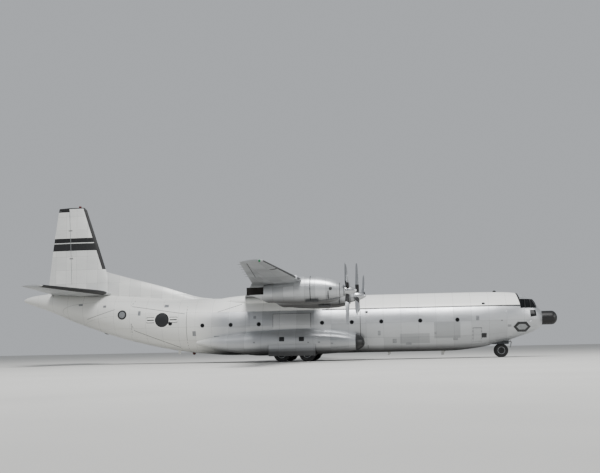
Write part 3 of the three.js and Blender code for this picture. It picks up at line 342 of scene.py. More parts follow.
barrel_gap = 0.0003
nose = lofted("nose_barrel", shell_rings(1.36, NOSE_END - barrel_gap, front_closed=True))
forward = lofted("forward_barrel", shell_rings(NOSE_END + barrel_gap, FORWARD_END - barrel_gap), looped=True)
centre = lofted("centre_barrel", shell_rings(FORWARD_END + barrel_gap, CENTRE_END - barrel_gap), looped=True)
aft = lofted("aft_barrel", shell_rings(CENTRE_END + barrel_gap, AFT_END - barrel_gap), looped=True)
tail = lofted("tail_barrel", shell_rings(AFT_END + barrel_gap, LENGTH, back_closed=True))
fitted(centre, body_skin, "airframe", "centre_fuselage")
fitted(tail, body_skin, "airframe", "tail_fuselage")
body_core = lofted("body_core", [body_ring(s) for s in np.arange(1.36, LENGTH, 0.4)])


# Doors in the skin: crew door to starboard, freight door to port, and the ramp and upper door under the tail.
# Each is a panel of the same sheet on pressed ribs, cut from the skin with a narrow gap, on its own hinge.
def box(name, front, back, y0, y1, z0, z1):
    """Box between two stations, two y and two z."""
    corners = [(y0, z0), (y1, z0), (y1, z1), (y0, z1)]
    return lofted(name, [[at(station, y, z) for y, z in corners] for station in (front, back)])


def carved(thing, tool, operation="DIFFERENCE", keep_tool=False):
    """Thing less the tool, or what they share with INTERSECT."""
    cut = thing.modifiers.new("cut", "BOOLEAN")
    cut.operation, cut.object, cut.solver = operation, tool, "EXACT"
    bpy.context.view_layer.update()
    shape = thing.evaluated_get(bpy.context.evaluated_depsgraph_get())
    mesh = bpy.data.meshes.new_from_object(shape)
    thing.modifiers.clear()
    thing.data = mesh
    if not keep_tool:
        bpy.data.objects.remove(tool)
    return thing


def copied(thing, name):
    """A second object like the first, to be cut or mirrored on its own."""
    return placed(name, thing.data.copy())


def split_door(skin, name, sizes):
    """Cuts a box-edged door out of a skin and returns the door."""
    (front, back, y0, y1, z0, z1), gap = sizes, RUNNING_GAP
    inside = box("tool", front + gap, back - gap, y0, y1, z0 + gap, z1 - gap)
    door = carved(copied(skin, name), inside, "INTERSECT")
    carved(skin, box("tool", *sizes))
    return door


def leaning_prism(front, front_lean, back, back_lean, gap):
    """Prism under the body, whose front and back planes may lean forward with height."""
    half, top, split_z = 1.3 - gap, 3.2, 1.42
    rings = []
    for station, lean in ((front + gap, front_lean), (back - gap, back_lean)):
        low, high = station + lean * split_z, station - lean * (top - split_z)
        rings.append([at(low, -half, 0), at(low, half, 0), at(high, half, top), at(high, -half, top)])
    return lofted("tool", rings)


crew_door = split_door(nose, "crew_door_panel", (6.72, 7.39, -4, -1, 1.39, 2.53))
side_door = split_door(forward, "freight_door_panel", (9.4, 12.2, 1, 4, 1.62, 4.2))
RAMP_FRONT, RAMP_BACK, RAMP_LEAN, AFT_DOOR_BACK = 32.3, 34.95, 0.5, 37.25
ramp_tool = leaning_prism(RAMP_FRONT, 0, RAMP_BACK, RAMP_LEAN, RUNNING_GAP)
ramp_skin = carved(copied(aft, "ramp_skin"), ramp_tool, "INTERSECT")
door_tool = leaning_prism(RAMP_BACK, RAMP_LEAN, AFT_DOOR_BACK, 0, RUNNING_GAP)
aft_door = carved(copied(aft, "upper_tail_door"), door_tool, "INTERSECT")
carved(aft, leaning_prism(RAMP_FRONT, 0, AFT_DOOR_BACK, 0, 0))
for thing, body, solid in ((forward, "airframe", "forward_fuselage"), (aft, "airframe", "aft_fuselage"),
                           (crew_door, "crew_door", "crew_door"),
                           (side_door, "side_cargo_door", "side_cargo_door"),
                           (aft_door, "aft_cargo_door", "aft_cargo_door")):
    fitted(thing, body_skin, body, solid)
fitted(ramp_skin, body_skin, "cargo_ramp")


# Cockpit and nose: five flat panes a side behind pillars, a lower window each side, a black radome drum,
# the nose wheel's well and the loading ramp's deck. Glass is laminated and tinted, and the radome is glass
# fibre under a matte black coating.
def side_prism(corners, y0, y1):
    """Prism across the body from corners given as station and z."""
    return lofted("tool", [[at(station, y, z) for station, z in corners] for y in (y0, y1)])


def plain(name, colour, rough, metallic=0.0, mottle=0.12, scale=14.0, bump=0.0008, **more):
    """Even finish with the slight mottling of a used surface."""
    material, tree, place = new_material(name)
    noise = add(tree, "TexNoise", {"Vector": place, "Scale": scale, "Detail": 5.0}).outputs[0]
    tone = add(tree, "MapRange", {0: noise, 1: 0.3, 2: 0.7, 3: 1 - mottle, 4: 1 + mottle}).outputs[0]
    tint = add(tree, "VectorMath", {0: linear(colour)[:3], 3: tone}, operation="SCALE").outputs[0]
    smooth, dull = rough * 0.85, min(1, rough * 1.2)
    rub = add(tree, "MapRange", {0: noise, 1: 0.3, 2: 0.7, 3: smooth, 4: dull}).outputs[0]
    relief = add(tree, "Bump", {"Height": noise, "Distance": bump, "Strength": 0.5}).outputs[0]
    shaded(tree, {"Base Color": tint, "Roughness": rub, "Metallic": metallic, **more}, relief)
    return material


def turned(name, rows, y, z, count=48):
    """Solid of revolution along the aircraft from rows of station and radius."""
    return lofted(name, [ellipse_ring(s, z + r, z - r, r, y, count=count) for s, r in rows])


def assigned(material, *names):
    """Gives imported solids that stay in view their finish."""
    for name in names:
        nodes[name].data.materials.clear()
        nodes[name].data.materials.append(material)


# Rain-proof rubber paint: near black, with a soft dull shine.
black_coat = plain("matte_black_coating", "#0b0b0c", 0.42, mottle=0.2)
# Laminated glass over a dark cabin reads as a black pane with a faint shine.
pane = plain("tinted_glass", "#0a0c0e", 0.2, mottle=0.02, bump=0.0001, **{"Specular IOR Level": 0.2})
# Flat paint that keeps glare off the crew, and rolled floor plate scuffed by loads.
cabin_paint = plain("matte_cabin_paint", "#23262a", 0.6)
deck_plate = plain("worn_deck_plate", "#6f7275", 0.5, 0.5, mottle=0.2)

WELL = (4.3, 5.85, -0.52, 0.52, -1, 2.1)
SIDE_PANES = [
    [(3.26, 4.93), (3.29, 4.22), (2.93, 4.22), (2.93, 4.93)],
    [(2.86, 4.93), (2.86, 4.22), (2.43, 4.22), (2.46, 4.93)],
    [(2.38, 4.93), (2.36, 4.22), (1.93, 4.22), (2.24, 4.86)],
]
FRONT_PANES, FRONT_PANE_LOW, FRONT_PANE_HIGH, SIDE_PANE_INNER = ((0.05, 0.4), (0.45, 0.78)), 4.26, 4.88, 0.82
for side in (-1, 1):
    for corners in SIDE_PANES:
        carved(nose, side_prism(corners, *sorted((side * SIDE_PANE_INNER, side * 3))))
    for inner, outer in FRONT_PANES:
        across = sorted((side * inner, side * outer))
        carved(nose, box("tool", 1.3, 2.25, *across, FRONT_PANE_LOW, FRONT_PANE_HIGH))
carved(nose, box("tool", *WELL))
well = carved(box("nose_wheel_well", 4.2, 5.95, -0.62, 0.62, 0, 2.2), body_core, "INTERSECT", keep_tool=True)
fitted(carved(well, box("tool", *WELL)), deck_plate, "airframe")
for side, hand in SIDES:
    flap_door = box(f"nose_well_door_{hand}", *WELL[:2], *sorted((side * 0.7, side * 0.72)), 1.14, 1.45)
    fitted(flap_door, cabin_paint, "airframe")
fitted(nose, body_skin, "airframe", "nose_section")
band_stations = list(np.arange(1.5, 3.5, 0.1))
glass_rings = [body_ring(s, 0.05) for s in band_stations]
glass_rings += [body_ring(s, 0.08) for s in reversed(band_stations)]
fitted(lofted("cockpit_glass", glass_rings, looped=True), pane, "airframe", "windscreen")

radome_radius, radome_nose, radome_back, radome_middle = 0.6, 0.5, 1.3594, 3.35
radome_rows = [(radome_nose * (1 - cos(a)), radome_radius * sin(a))
               for a in np.linspace(0, pi / 2, 16)]
radome_rows = [(0, 0.0005)] + radome_rows[1:] + [(radome_back, radome_radius)]
radome = turned("radome_drum", radome_rows, 0, radome_middle, 64)
fitted(radome, black_coat, "airframe", "radome")

deck_half, deck_deep, deck_ends = 1.26, 0.5, ((32.42, 1.4), (34.58, 1.88))
deck_rings = [[at(s, y, z) for y, z in ((-deck_half, top - deck_deep), (deck_half, top - deck_deep),
                                        (deck_half, top), (-deck_half, top))] for s, top in deck_ends]
deck_core = lofted("deck_core", [body_ring(s, 0.03) for s in np.arange(31.5, 36, 0.25)])
ramp_deck = carved(lofted("ramp_deck", deck_rings), deck_core, "INTERSECT")
fitted(ramp_deck, deck_plate, "cargo_ramp", "cargo_ramp")
assigned(deck_plate, "cargo_floor")
assigned(cabin_paint, "flight_deck")


# Wing, flaps and ailerons: riveted sheet over two spars, seen mostly from below, in strips along the span.
# A strip ends flat ahead of a flap and in a round cove ahead of an aileron, and panels hang in their gaps.
def half_thickness(x):
    """Half thickness of a symmetric wing section at a share of its chord, for a thickness of one chord."""
    return 5 * (0.2969 * x ** 0.5 - 0.126 * x - 0.3516 * x ** 2 + 0.2843 * x ** 3 - 0.1036 * x ** 4)


class Surface:
    """Flying surface from rows of span, front and back station, height, thickness ratio and incidence."""

    def __init__(self, rows, camber=0.0, upright=False):
        self.rows, self.camber, self.upright = np.array(rows, float), camber, upright

    def row(self, span):
        return [np.interp(span, self.rows[:, 0], self.rows[:, k]) for k in range(1, 6)]

    def rise(self, span, s, side):
        """Height of the skin above the chord line."""
        lead, trail, _, ratio, _ = self.row(span)
        chord = trail - lead
        x = min(max((s - lead) / chord, 0), 1)
        return self.camber * chord * 4 * x * (1 - x) + side * half_thickness(x) * ratio * chord

    def point(self, span, s, rise):
        lead, _, z, _, incidence = self.row(span)
        tilt = radians(incidence)
        station = lead + (s - lead) * cos(tilt) + rise * sin(tilt)
        height = z + rise * cos(tilt) - (s - lead) * sin(tilt)
        return at(station, rise, span) if self.upright else at(station, span, height)

    def hinge(self, span, line):
        """Station of a hinge line given by its two ends, and the skin's half thickness and middle there."""
        s = line[0][1] + (span - line[0][0]) * (line[1][1] - line[0][1]) / (line[1][0] - line[0][0])
        upper, lower = self.rise(span, s, 1), self.rise(span, s, -1)
        return s, (upper - lower) / 2, (upper + lower) / 2

    def on_axis(self, span, line):
        """Model point of the hinge axis at a span position."""
        s, radius, middle = self.hinge(span, line)
        return self.point(span, s, middle - radius * line[2])

    def ring(self, span, kind, line):
        """Outline at a span position, with ends square to the hinge line behind it."""
        count = 20
        lead, trail = self.row(span)[:2]
        ease = [(1 - cos(pi * k / count)) / 2 for k in range(count + 1)]
        s, radius, middle = self.hinge(span, line)
        lean = -(line[1][1] - line[0][1]) / (line[1][0] - line[0][0])
        reach = radius * 1.14 + RUNNING_GAP
        axis = middle - radius * line[2]
        (_, _, z_here), (_, _, z_ahead) = [self.on_axis(y, line) for y in (span, span + 0.1)]
        climb = 0.0 if self.upright else (z_ahead - z_here) / (0.1 * MODEL_SCALE)
        front, back = lead, s
        if kind == "cove":
            back = s - sqrt(max(reach ** 2 - (radius * 1.03) ** 2, 0))
        if kind == "full":
            run = [lead + (trail - lead) * e for e in reversed(ease)]
        elif kind in ("front", "cove"):
            run = [front + (back - front) * (1 - cos(pi / 2 * k / count))
                   for k in range(count, -1, -1)]
        else:
            front = s + 0.018 if kind == "flap" else s
            run = [front + (trail - front) * e for e in ease]
        flat = [(a, self.rise(span, a, 1)) for a in run] + [(a, self.rise(span, a, -1)) for a in run[-2::-1]]
        if kind == "cove":
            low = atan2(flat[-1][1] - middle, s - back)
            high = atan2(flat[0][1] - middle, s - back)
            flat += [(s - reach * cos(t), middle + reach * sin(t))
                     for t in np.linspace(low, high, 9)[1:-1]]
        elif kind == "panel":
            nose = radius * 0.98
            flat[-1:] = [(s - nose * sin(t), middle - nose * cos(t))
                         for t in np.linspace(0, pi, 12)[:-1]]
        points = []
        for a, rise in flat:
            near = min(max((a - s) / reach + 2, 0), 1)
            here = span + lean * max(a - s, -reach) - climb * (rise - axis) * near
            points.append(self.point(here, a, self.rise(here, a, 0) + rise - self.rise(span, a, 0)))
        return points

    def strip(self, name, spans, kind, line):
        return lofted(name, [self.ring(span, kind, line) for span in spans], ribbed=kind in ("full", "front"))


def joined(name, things):
    """One object of several."""
    work = bmesh.new()
    for thing in things:
        work.from_mesh(thing.data)
    mesh = bpy.data.meshes.new(name)
    work.to_mesh(mesh)
    work.free()
    for thing in things:
        bpy.data.objects.remove(thing)
    return placed(name, mesh)


def mirrored(thing, name):
    """The same piece on the other side of the aircraft."""
    twin = copied(thing, name)
    twin.data.transform(Matrix.Scale(-1, 4, Vector((0, 1, 0))))
    twin.data.flip_normals()
    return twin


def spanwise(tree, xyz):
    return xyz[1]


def outward(tree, xyz):
    """Distance from the aircraft's middle plane."""
    return add(tree, "Math", {0: xyz[1]}, operation="ABSOLUTE").outputs[0]


END_GAP = 0.036
wing = Surface([(0, 20.17, 27.5, 6.13, 0.15, 3.5), (13.2, 20.97, 24.72, 6.37, 0.14, 3.5),
                (27.28, 21.83, 23.33, 6.65, 0.12, 3.0), (27.4, 22.0, 23.22, 6.65, 0.06, 3.0)], camber=0.02)


def share_line(surface, inner, outer, share, low=0):
    """Straight hinge line at a share of the chord, as its two ends, at mid thickness or on the lower skin."""
    ends = []
    for span in (inner, outer):
        lead, trail = surface.row(span)[:2]
        ends.append((span, lead + (trail - lead) * share))
    return (*ends, low)


def wing_paint(tree, xyz, look):
    """Black bar on each outer leading edge, and dark sealant ahead of the movable panels."""
    x, y = xyz[0], outward(tree, xyz)
    break_span, break_lead, tip_span, tip_lead = 13.2, 20.97, 27.28, 21.83
    sweep = (tip_lead - break_lead) / (tip_span - break_span)
    swept = slanted(tree, y, sweep, x)
    lead = x_of(break_lead) + sweep * break_span * MODEL_SCALE
    bar = together(tree, within(tree, swept, lead - 0.26, lead + 1), within(tree, y, 11.15, 11.4))
    hinge = together(tree, within(tree, slanted(tree, y, -0.0874, x), -0.66, -0.63),
                     within(tree, y, 8.9, 13.25))
    edge = together(tree, within(tree, swept, lead - 0.03, lead + 1), within(tree, y, 6.6, 13.6))
    for mask in (bar, edge, hinge):
        look = painted(tree, look, mask, "#161617", 0.5)
    return look


# Unpainted sheet dulled by weather: darker and softer in its shine than the body's.
wing_metal = riveted_sheet("bare_wing_sheet", ("#8b8d8f", "#adafb1"), 0.68, (0.34, 0.5), spanwise,
                           (0.46, 0.9), wing_paint)
inner_line, outer_line = share_line(wing, 0, 13.2, 0.72, 1), share_line(wing, 13.2, 27.28, 0.72, 1)
aileron_line = share_line(wing, 17.8, 26.5, 0.76)
root_strip = carved(wing.strip("s", (-0.4, 2.95), "full", inner_line), body_core, keep_tool=True)
centre_strips = [root_strip] + [wing.strip("s", spans, kind, inner_line)
                                for spans, kind in (((2.95, 5.3), "front"), ((5.3, 7.1497), "full"))]
outer_strips = [wing.strip("s", spans, kind, line) for spans, kind, line in (
    ((7.1503, 7.2), "full", inner_line), ((7.2, 11.35), "front", inner_line),
    ((11.35, 13.3), "full", inner_line), ((13.3, 17.6), "front", outer_line),
    ((17.6, 17.8), "full", outer_line), ((17.8, 26.5), "cove", aileron_line),
    ((26.5, 27.0, 27.28, 27.34, 27.4), "full", aileron_line))]
left_centre = joined("left_centre", centre_strips)
right_centre = mirrored(left_centre, "right_centre")
centre_wing = joined("centre_wing", [left_centre, right_centre])
fitted(centre_wing, wing_metal, "airframe", "wing_centre")
left_wing = joined("outer_wing_left", outer_strips)
right_wing = mirrored(left_wing, "outer_wing_right")
for thing, hand in ((left_wing, "left"), (right_wing, "right")):
    fitted(thing, wing_metal, "airframe", f"wing_{hand}")
for label, inner, outer, kind, line in (("flap_inner", 2.95, 5.3, "flap", inner_line),
                                        ("flap_middle", 7.2, 11.35, "flap", inner_line),
                                        ("flap_outer", 13.3, 17.6, "flap", outer_line),
                                        ("aileron", 17.8, 26.5, "panel", aileron_line)):
    panel = wing.strip(f"{label}_left_skin", (inner + END_GAP, outer - END_GAP), kind, line)
    for thing, hand in ((mirrored(panel, f"{label}_right_skin"), "right"), (panel, "left")):
        fitted(thing, wing_metal, f"{label}_{hand}", f"{label}_{hand}")
FAIRING_ROWS = [(18.3, 5.6, 5.2, 0.7), (19.4, 5.98, 4.9, 1.45), (21.5, 6.2, 4.7, 1.7), (26.5, 6.0, 4.7, 1.7),
                (28.6, 5.85, 4.9, 1.3), (30.2, 5.62, 5.2, 0.6)]
fairing_rings = [ellipse_ring(*eased(FAIRING_ROWS, s)) for s in np.linspace(18.3, 30.2, 40)]
fairing = carved(lofted("wing_root_fairing", fairing_rings), body_core, keep_tool=True)
fitted(fairing, body_skin, "airframe", "wing_fairing")


# Nacelles and engines: riveted cowling rings around each turboprop, a round inlet with a dark tunnel, a small
# oil-cooler scoop under it, and behind it the square jet outlet of heat-stained steel.
NACELLE_ROWS = [
    (0.24, 0.43, -0.43, 0.43), (0.75, 0.7, -0.58, 0.62), (1.4, 0.95, -0.72, 0.74), (2.3, 1.13, -0.83, 0.8),
    (3.3, 1.2, -0.89, 0.82), (4.5, 1.0, -0.88, 0.8), (5.5, 0.75, -0.81, 0.72), (6.1, 0.64, -0.8, 0.6),
    (6.9, 0.5, -0.42, 0.45), (7.6, 0.42, -0.2, 0.36),
]
ENGINES = [("1", 12.3, 17.46, 5.47, 70), ("2", 6.2, 17.0, 5.34, -15), ("3", -6.2, 17.0, 5.34, 5),
           ("4", -12.3, 17.46, 5.47, 45)]


def ball(name, centre, radius, squash=1.0):
    """Small dome or lamp, given its full-size centre as station, y and z."""
    s, y, z = centre
    rows = [(cos(a), sin(a)) for a in np.linspace(0.02, pi - 0.02, 12)]
    rings = [[at(s + radius * r * sin(t), y + radius * r * cos(t), z - radius * squash * h)
              for t in circle(20)] for h, r in rows]
    return lofted(name, rings)


def cowl_paint(tree, xyz, look):
    """Painted shade: darker towards the underside, where shade falls."""
    painted_underside_shade = add(tree, "MapRange", {0: xyz[2], 1: 2.56, 2: 2.34, 3: 0.0, 4: 0.88}).outputs[0]
    return painted(tree, look, painted_underside_shade, "#3a3835", 0.55)


def around_cowl(tree, xyz):
    """Arc length around the nearest of the four nacelles' middle lines."""
    y = outward(tree, xyz)
    inner_y, outer_y, middle_z, radius = 3.1, 6.15, 2.72, 0.4
    outboard = add(tree, "Math", {0: y, 1: 4.6}, operation="GREATER_THAN").outputs[0]
    apart = outer_y - inner_y
    middle = add(tree, "Math", {0: outboard, 1: apart, 2: inner_y}, operation="MULTIPLY_ADD").outputs[0]
    side = add(tree, "Math", {0: y, 1: middle}, operation="SUBTRACT").outputs[0]
    up = add(tree, "Math", {0: xyz[2], 1: middle_z}, operation="SUBTRACT").outputs[0]
    angle = add(tree, "Math", {0: side, 1: up}, operation="ARCTAN2").outputs[0]
    return add(tree, "Math", {0: angle, 1: radius}, operation="MULTIPLY").outputs[0]


# Polished more often than the rest, so brighter; below it is darkened to a dull brown as painted shade.
cowl_metal = riveted_sheet("bare_cowling_sheet", ("#a8aaac", "#c6c8ca"), 0.7, (0.3, 0.45), around_cowl,
                           (0.41, 0.42), cowl_paint)
# Sealed joints read as dark rings; steel near the jet is stained brown-black, and bare steel stays bright.
cowl_joint = plain("dark_cowl_joint", "#2a2b2c", 0.6)
# Near-black metal inside the intake tunnels and scoop mouths: painted shade for their shaded insides.
painted_shade_inside = plain("painted_shade_dark_metal", "#141312", 0.6, 0.3)
burnt_steel = plain("heat_stained_steel", "#161311", 0.55, 0.6, mottle=0.35)
bare_steel = plain("brushed_steel", "#b9babb", 0.28, 0.9, mottle=0.08)
CHIN_ROWS = [(0.62, -0.5, -0.64, 0.2), (1.0, -0.5, -0.78, 0.3), (1.8, -0.55, -0.93, 0.36),
             (3.0, -0.6, -0.97, 0.36), (4.6, -0.6, -0.9, 0.3), (5.4, -0.6, -0.82, 0.2)]
COWL_JOINTS = [(0.27, 0.02), (0.58, 0.02), (2.83, 0.03)]
LIP_ROWS = [(0.9, 0.37), (0.4, 0.37), (0.26, 0.385), (0.215, 0.41)]
TUNNEL_RADIUS, TUNNEL_WALL, JET_FRONT, JET_FLOOR = 0.366, 0.026, 6.4494, -0.171
for name, y, plane, z, _ in ENGINES:
    def hoop(station, top, low, half, proud=0.0, count=48):
        """Ring around this nacelle, with its heights from the propeller's axis."""
        return ellipse_ring(plane + station, z + top + proud, z + low - proud, half + proud, y, count=count)

    lip = [hoop(s, r, -r, r) for s, r in LIP_ROWS]
    rings = lip + [hoop(*eased(NACELLE_ROWS, s)) for s in np.linspace(0.24, 7.6, 46)]
    cowl = lofted(f"cowling_{name}", rings)
    jet = plane + JET_FRONT
    carved(cowl, box("tool", jet, jet + 3, y - 2, y + 2, z + JET_FLOOR, z + 2))
    fitted(cowl, cowl_metal, "airframe", f"nacelle_{name}")
    tunnel = turned(f"intake_tunnel_{name}", [(plane + s, TUNNEL_RADIUS) for s in (0.45, 0.88)], y, z)
    back = turned("tool", [(plane + s, TUNNEL_RADIUS - TUNNEL_WALL) for s in (0.3, 0.84)], y, z)
    fitted(carved(tunnel, back), painted_shade_inside, "airframe")
    scoop = lofted(f"oil_cooler_scoop_{name}",
                   [hoop(*eased(CHIN_ROWS, s), count=28) for s in np.linspace(0.62, 5.4, 26)])
    fitted(scoop, cowl_metal, "airframe")
    mouth = lofted(f"scoop_mouth_{name}", [hoop(s, -0.53, -0.625, 0.15, count=28) for s in (0.6, 0.66)])
    fitted(mouth, painted_shade_inside, "airframe")
    joints = [lofted("joint", [hoop(*eased(NACELLE_ROWS, s + shift), 0.006) for shift in (-wide, wide)])
              for s, wide in COWL_JOINTS]
    joints[0] = carved(joints[0], turned("tool", [(plane + 0.2, 0.41), (plane + 0.7, 0.41)], y, z, 48))
    for side in (-1, 1):
        half = eased(NACELLE_ROWS, 1.27)[3]
        joints.append(ball("intake", (plane + 1.27, y + side * (half - 0.02), z + 0.16), 0.13))
        for front, back, near, far, low, high in ((1.42, 1.48, 0.5, half + 0.018, -0.62, -0.02),
                                                  (2.2, 3.2, 0.4, 0.66, -0.84, -0.72)):
            across = sorted((y + side * near, y + side * far))
            joints.append(box("slot", plane + front, plane + back, *across, z + low, z + high))
    fitted(joined(f"cowl_joints_{name}", joints), cowl_joint, "airframe")
    assigned(burnt_steel, f"engine_{name}")


# Propellers: forged aluminium blades with rubber cuffs at their roots, on a hub under a polished spinner.
BLADE_ROWS = [(0.22, 0.3, 0.24, 48), (0.6, 0.42, 0.18, 43), (1.1, 0.5, 0.11, 36), (1.9, 0.5, 0.07, 28),
              (2.5, 0.44, 0.04, 23), (2.715, 0.28, 0.025, 21)]
BLADE_ROOT, BLADE_TIP, CUFF_ENDS, CUFF_THICK = 0.24, BLADE_ROWS[-1][0], (0.34, 0.95), 0.008
SPINNER_ROWS = [(-0.71, 0.001), (-0.7, 0.035), (-0.67, 0.075), (-0.6, 0.14), (-0.5, 0.2), (-0.38, 0.256),
                (-0.25, 0.302), (-0.12, 0.338), (0.0, 0.357), (0.06, 0.36), (0.2, 0.36)]


def blade(y, plane, z, around, radii, grow=0.0):
    """Twisted blade or cuff through rows of radius, chord, thickness and pitch in degrees."""
    ease = [(1 - cos(pi * k / 9)) / 2 for k in range(10)]
    outline = [(x, 1) for x in ease] + [(x, -1) for x in ease[-2:0:-1]]
    rings = []
    for radius, chord, thickness, pitch in [eased(BLADE_ROWS, r) for r in radii]:
        turn, ring = radians(pitch), []
        for x, side in outline:
            along = (0.4 - x) * (chord + 2 * grow)
            rise = side * (half_thickness(x) * thickness + grow * (4 * x * (1 - x)) ** 0.5)
            forward = along * sin(turn) + rise * cos(turn)
            across = -(along * cos(turn) - rise * sin(turn))
            c, s = cos(around), sin(around)
            ring.append(at(plane - forward, y + across * c - radius * s, z + across * s + radius * c))
        rings.append(ring)
    return lofted("blade", rings)


# Forged blades under clear lacquer have a satin grey shine, and their moulded rubber cuffs are dull black.
coated_blade = plain("satin_blade_metal", "#a9abad", 0.33, 0.85, mottle=0.1)
rubber_cuff = plain("black_rubber_cuff", "#151516", 0.6, mottle=0.15)
for name, y, plane, z, blade_angle in ENGINES:
    body = f"propeller_{name}"
    blades, cuffs = [], []
    for turn in (0, 120, 240):
        around = radians(blade_angle + turn)
        blades.append(blade(y, plane, z, around, np.linspace(BLADE_ROOT, BLADE_TIP, 24)))
        cuffs.append(blade(y, plane, z, around, np.linspace(*CUFF_ENDS, 8), grow=CUFF_THICK))
    fitted(joined(f"blades_{name}", blades), coated_blade, body, body)
    fitted(joined(f"blade_cuffs_{name}", cuffs), rubber_cuff, body)
    fitted(turned(f"spinner_{name}", [(plane + s, r) for s, r in SPINNER_ROWS], y, z, 64), bare_steel, body)
    fitted(turned(f"shaft_{name}", [(plane + 0.18, 0.12), (plane + 0.799, 0.12)], y, z, 32), bare_steel, body)


# Main gear pods: sheet fairings on the body's sides with matte black front caps, an open bay for the four
# wheels of each side, and one long door hanging beside them.
POD_ROWS = [
    (16.7, 1.75, 1.35, 2.7), (16.85, 1.98, 1.15, 3.0), (17.42, 2.26, 0.88, 3.35), (18.3, 2.52, 0.74, 3.58),
    (19.4, 2.7, 0.64, 3.7), (22.0, 2.84, 0.56, 3.75), (25.8, 2.72, 0.56, 3.72), (28.3, 2.46, 0.92, 3.45),
    (29.8, 2.26, 1.22, 3.1), (31.4, 1.95, 1.6, 2.45),
]
POD_MIDDLE, POD_WALL, CAP_BACK = 1.9, 0.09, 17.42
BAY_FRONT, BAY_BACK, BAY_INNER, BAY_OUTER, BAY_TOP, BAY_EDGE = 20.8, 24.9, 2.3, 3.55, 1.95, 1.47


def pod_ring(station, inset=0.0):
    """Rounded-square ring of the pod, which reaches into the body's side."""
    _, top, bottom, outer = eased(POD_ROWS, station)
    ring = []
    for a in circle(56):
        side = copysign(abs(sin(a)) ** 0.8, sin(a))
        drop = copysign(abs(cos(a)) ** 0.8, cos(a))
        ring.append(at(station, POD_MIDDLE + side * (outer - inset - POD_MIDDLE),
                       (top + bottom) / 2 - drop * ((top - bottom) / 2 - inset)))
    return ring


def pod_solid(name, front, back, inset=0.0, step=0.25):
    stations = list(np.arange(front, back, step)) + [back]
    return lofted(name, [pod_ring(s, inset) for s in stations])


pod_left = pod_solid("gear_pod_skin_left", CAP_BACK + 2 * barrel_gap, POD_ROWS[-1][0])
carved(pod_left, body_core, keep_tool=True)
pod_room = pod_solid("tool", 18.3, 29.8, POD_WALL)
thick_core = lofted("thick_core", [body_ring(s, -POD_WALL) for s in np.arange(16, 33, 0.5)])
carved(pod_room, thick_core)
carved(pod_left, pod_room)
carved(pod_left, box("tool", BAY_FRONT, BAY_BACK, BAY_INNER, BAY_OUTER, -1, BAY_TOP))
carved(pod_left, box("tool", BAY_FRONT, BAY_BACK, BAY_INNER, 9, -1, BAY_EDGE))
cap_left = pod_solid("pod_cap_left_skin", POD_ROWS[0][0], CAP_BACK, step=0.06)
carved(cap_left, body_core, keep_tool=True)
pod_right, cap_right = mirrored(pod_left, "gear_pod_skin_right"), mirrored(cap_left, "pod_cap_right_skin")
for pod, cap, hand in ((pod_left, cap_left, "left"), (pod_right, cap_right, "right")):
    fitted(pod, body_skin, "airframe", f"gear_pod_{hand}")
    fitted(cap, black_coat, "airframe", f"pod_cap_{hand}")
# Gloss enamel on the legs, dulled by oil and dust.
gear_enamel = plain("grey_gear_enamel", "#a6a8a8", 0.4, mottle=0.12)
assigned(gear_enamel, "main_gear_leg_left", "main_gear_leg_right", "nose_gear_leg")
assigned(bare_steel, "nose_steering_fork")
assigned(body_skin, "gear_door_left", "gear_door_right")


# Wheels: rubber tyres on cast alloy rims, in pairs that share an axle.
def wheel_lathe(name, station, y, z, rows, count):
    """Solid of revolution about an axle across the aircraft, from rows of y offset and radius."""
    return lofted(name, [[at(station + r * sin(a), y + w, z + r * cos(a)) for a in circle(count)]
                         for w, r in rows])


# Worn tyre rubber is a dusty, matte dark grey. The rims are sand-cast and painted with clear lacquer.
tyre_rubber = plain("tyre_rubber", "#1a1a1b", 0.72, mottle=0.25, scale=20)
rim_alloy = plain("cast_rim", "#9c9ea0", 0.4, 0.7)
WHEELS = [("nose_wheels", 4.93, 0.0, 0.6, 0.3, 0.3, 0.33, 0.06)]
for hand, y in (("left", 2.95), ("right", -2.95)):
    WHEELS += [(f"main_wheels_front_{hand}", 21.56, y, 0.71, 0.42, 0.36, 0.34, 0.08),
               (f"main_wheels_rear_{hand}", 23.76, y, 0.71, 0.42, 0.36, 0.34, 0.08)]
for name, station, y, radius, width, rim, twin, axle in WHEELS:
    tyres, rims, w = [], [], width / 2
    tyre_half = [(0.72, rim), (0.98, rim + (radius - rim) * 0.35), (1, radius * 0.82), (0.8, radius * 0.965),
                 (0.45, radius)]
    rim_half = [(0.5, 0.001), (0.5, rim * 0.3), (0.42, rim * 0.45), (0.42, rim * 0.82), (0.76, rim * 0.95),
                (0.78, rim * 1.04)]
    tyre_rows, rim_rows = [[(-w * u, r) for u, r in half] + [(w * u, r) for u, r in reversed(half)]
                           for half in (tyre_half, rim_half)]
    for offset in (-twin, twin):
        tyres.append(wheel_lathe("tyre", station, y + offset, radius, tyre_rows, 30))
        rims.append(wheel_lathe("rim", station, y + offset, radius, rim_rows, 40))
    rims.append(wheel_lathe("axle", station, y, radius, [(-twin, axle), (twin, axle)], 24))
    fitted(joined(f"{name}_tyres", tyres), tyre_rubber, name, name)
    fitted(joined(f"{name}_rims", rims), rim_alloy, name)


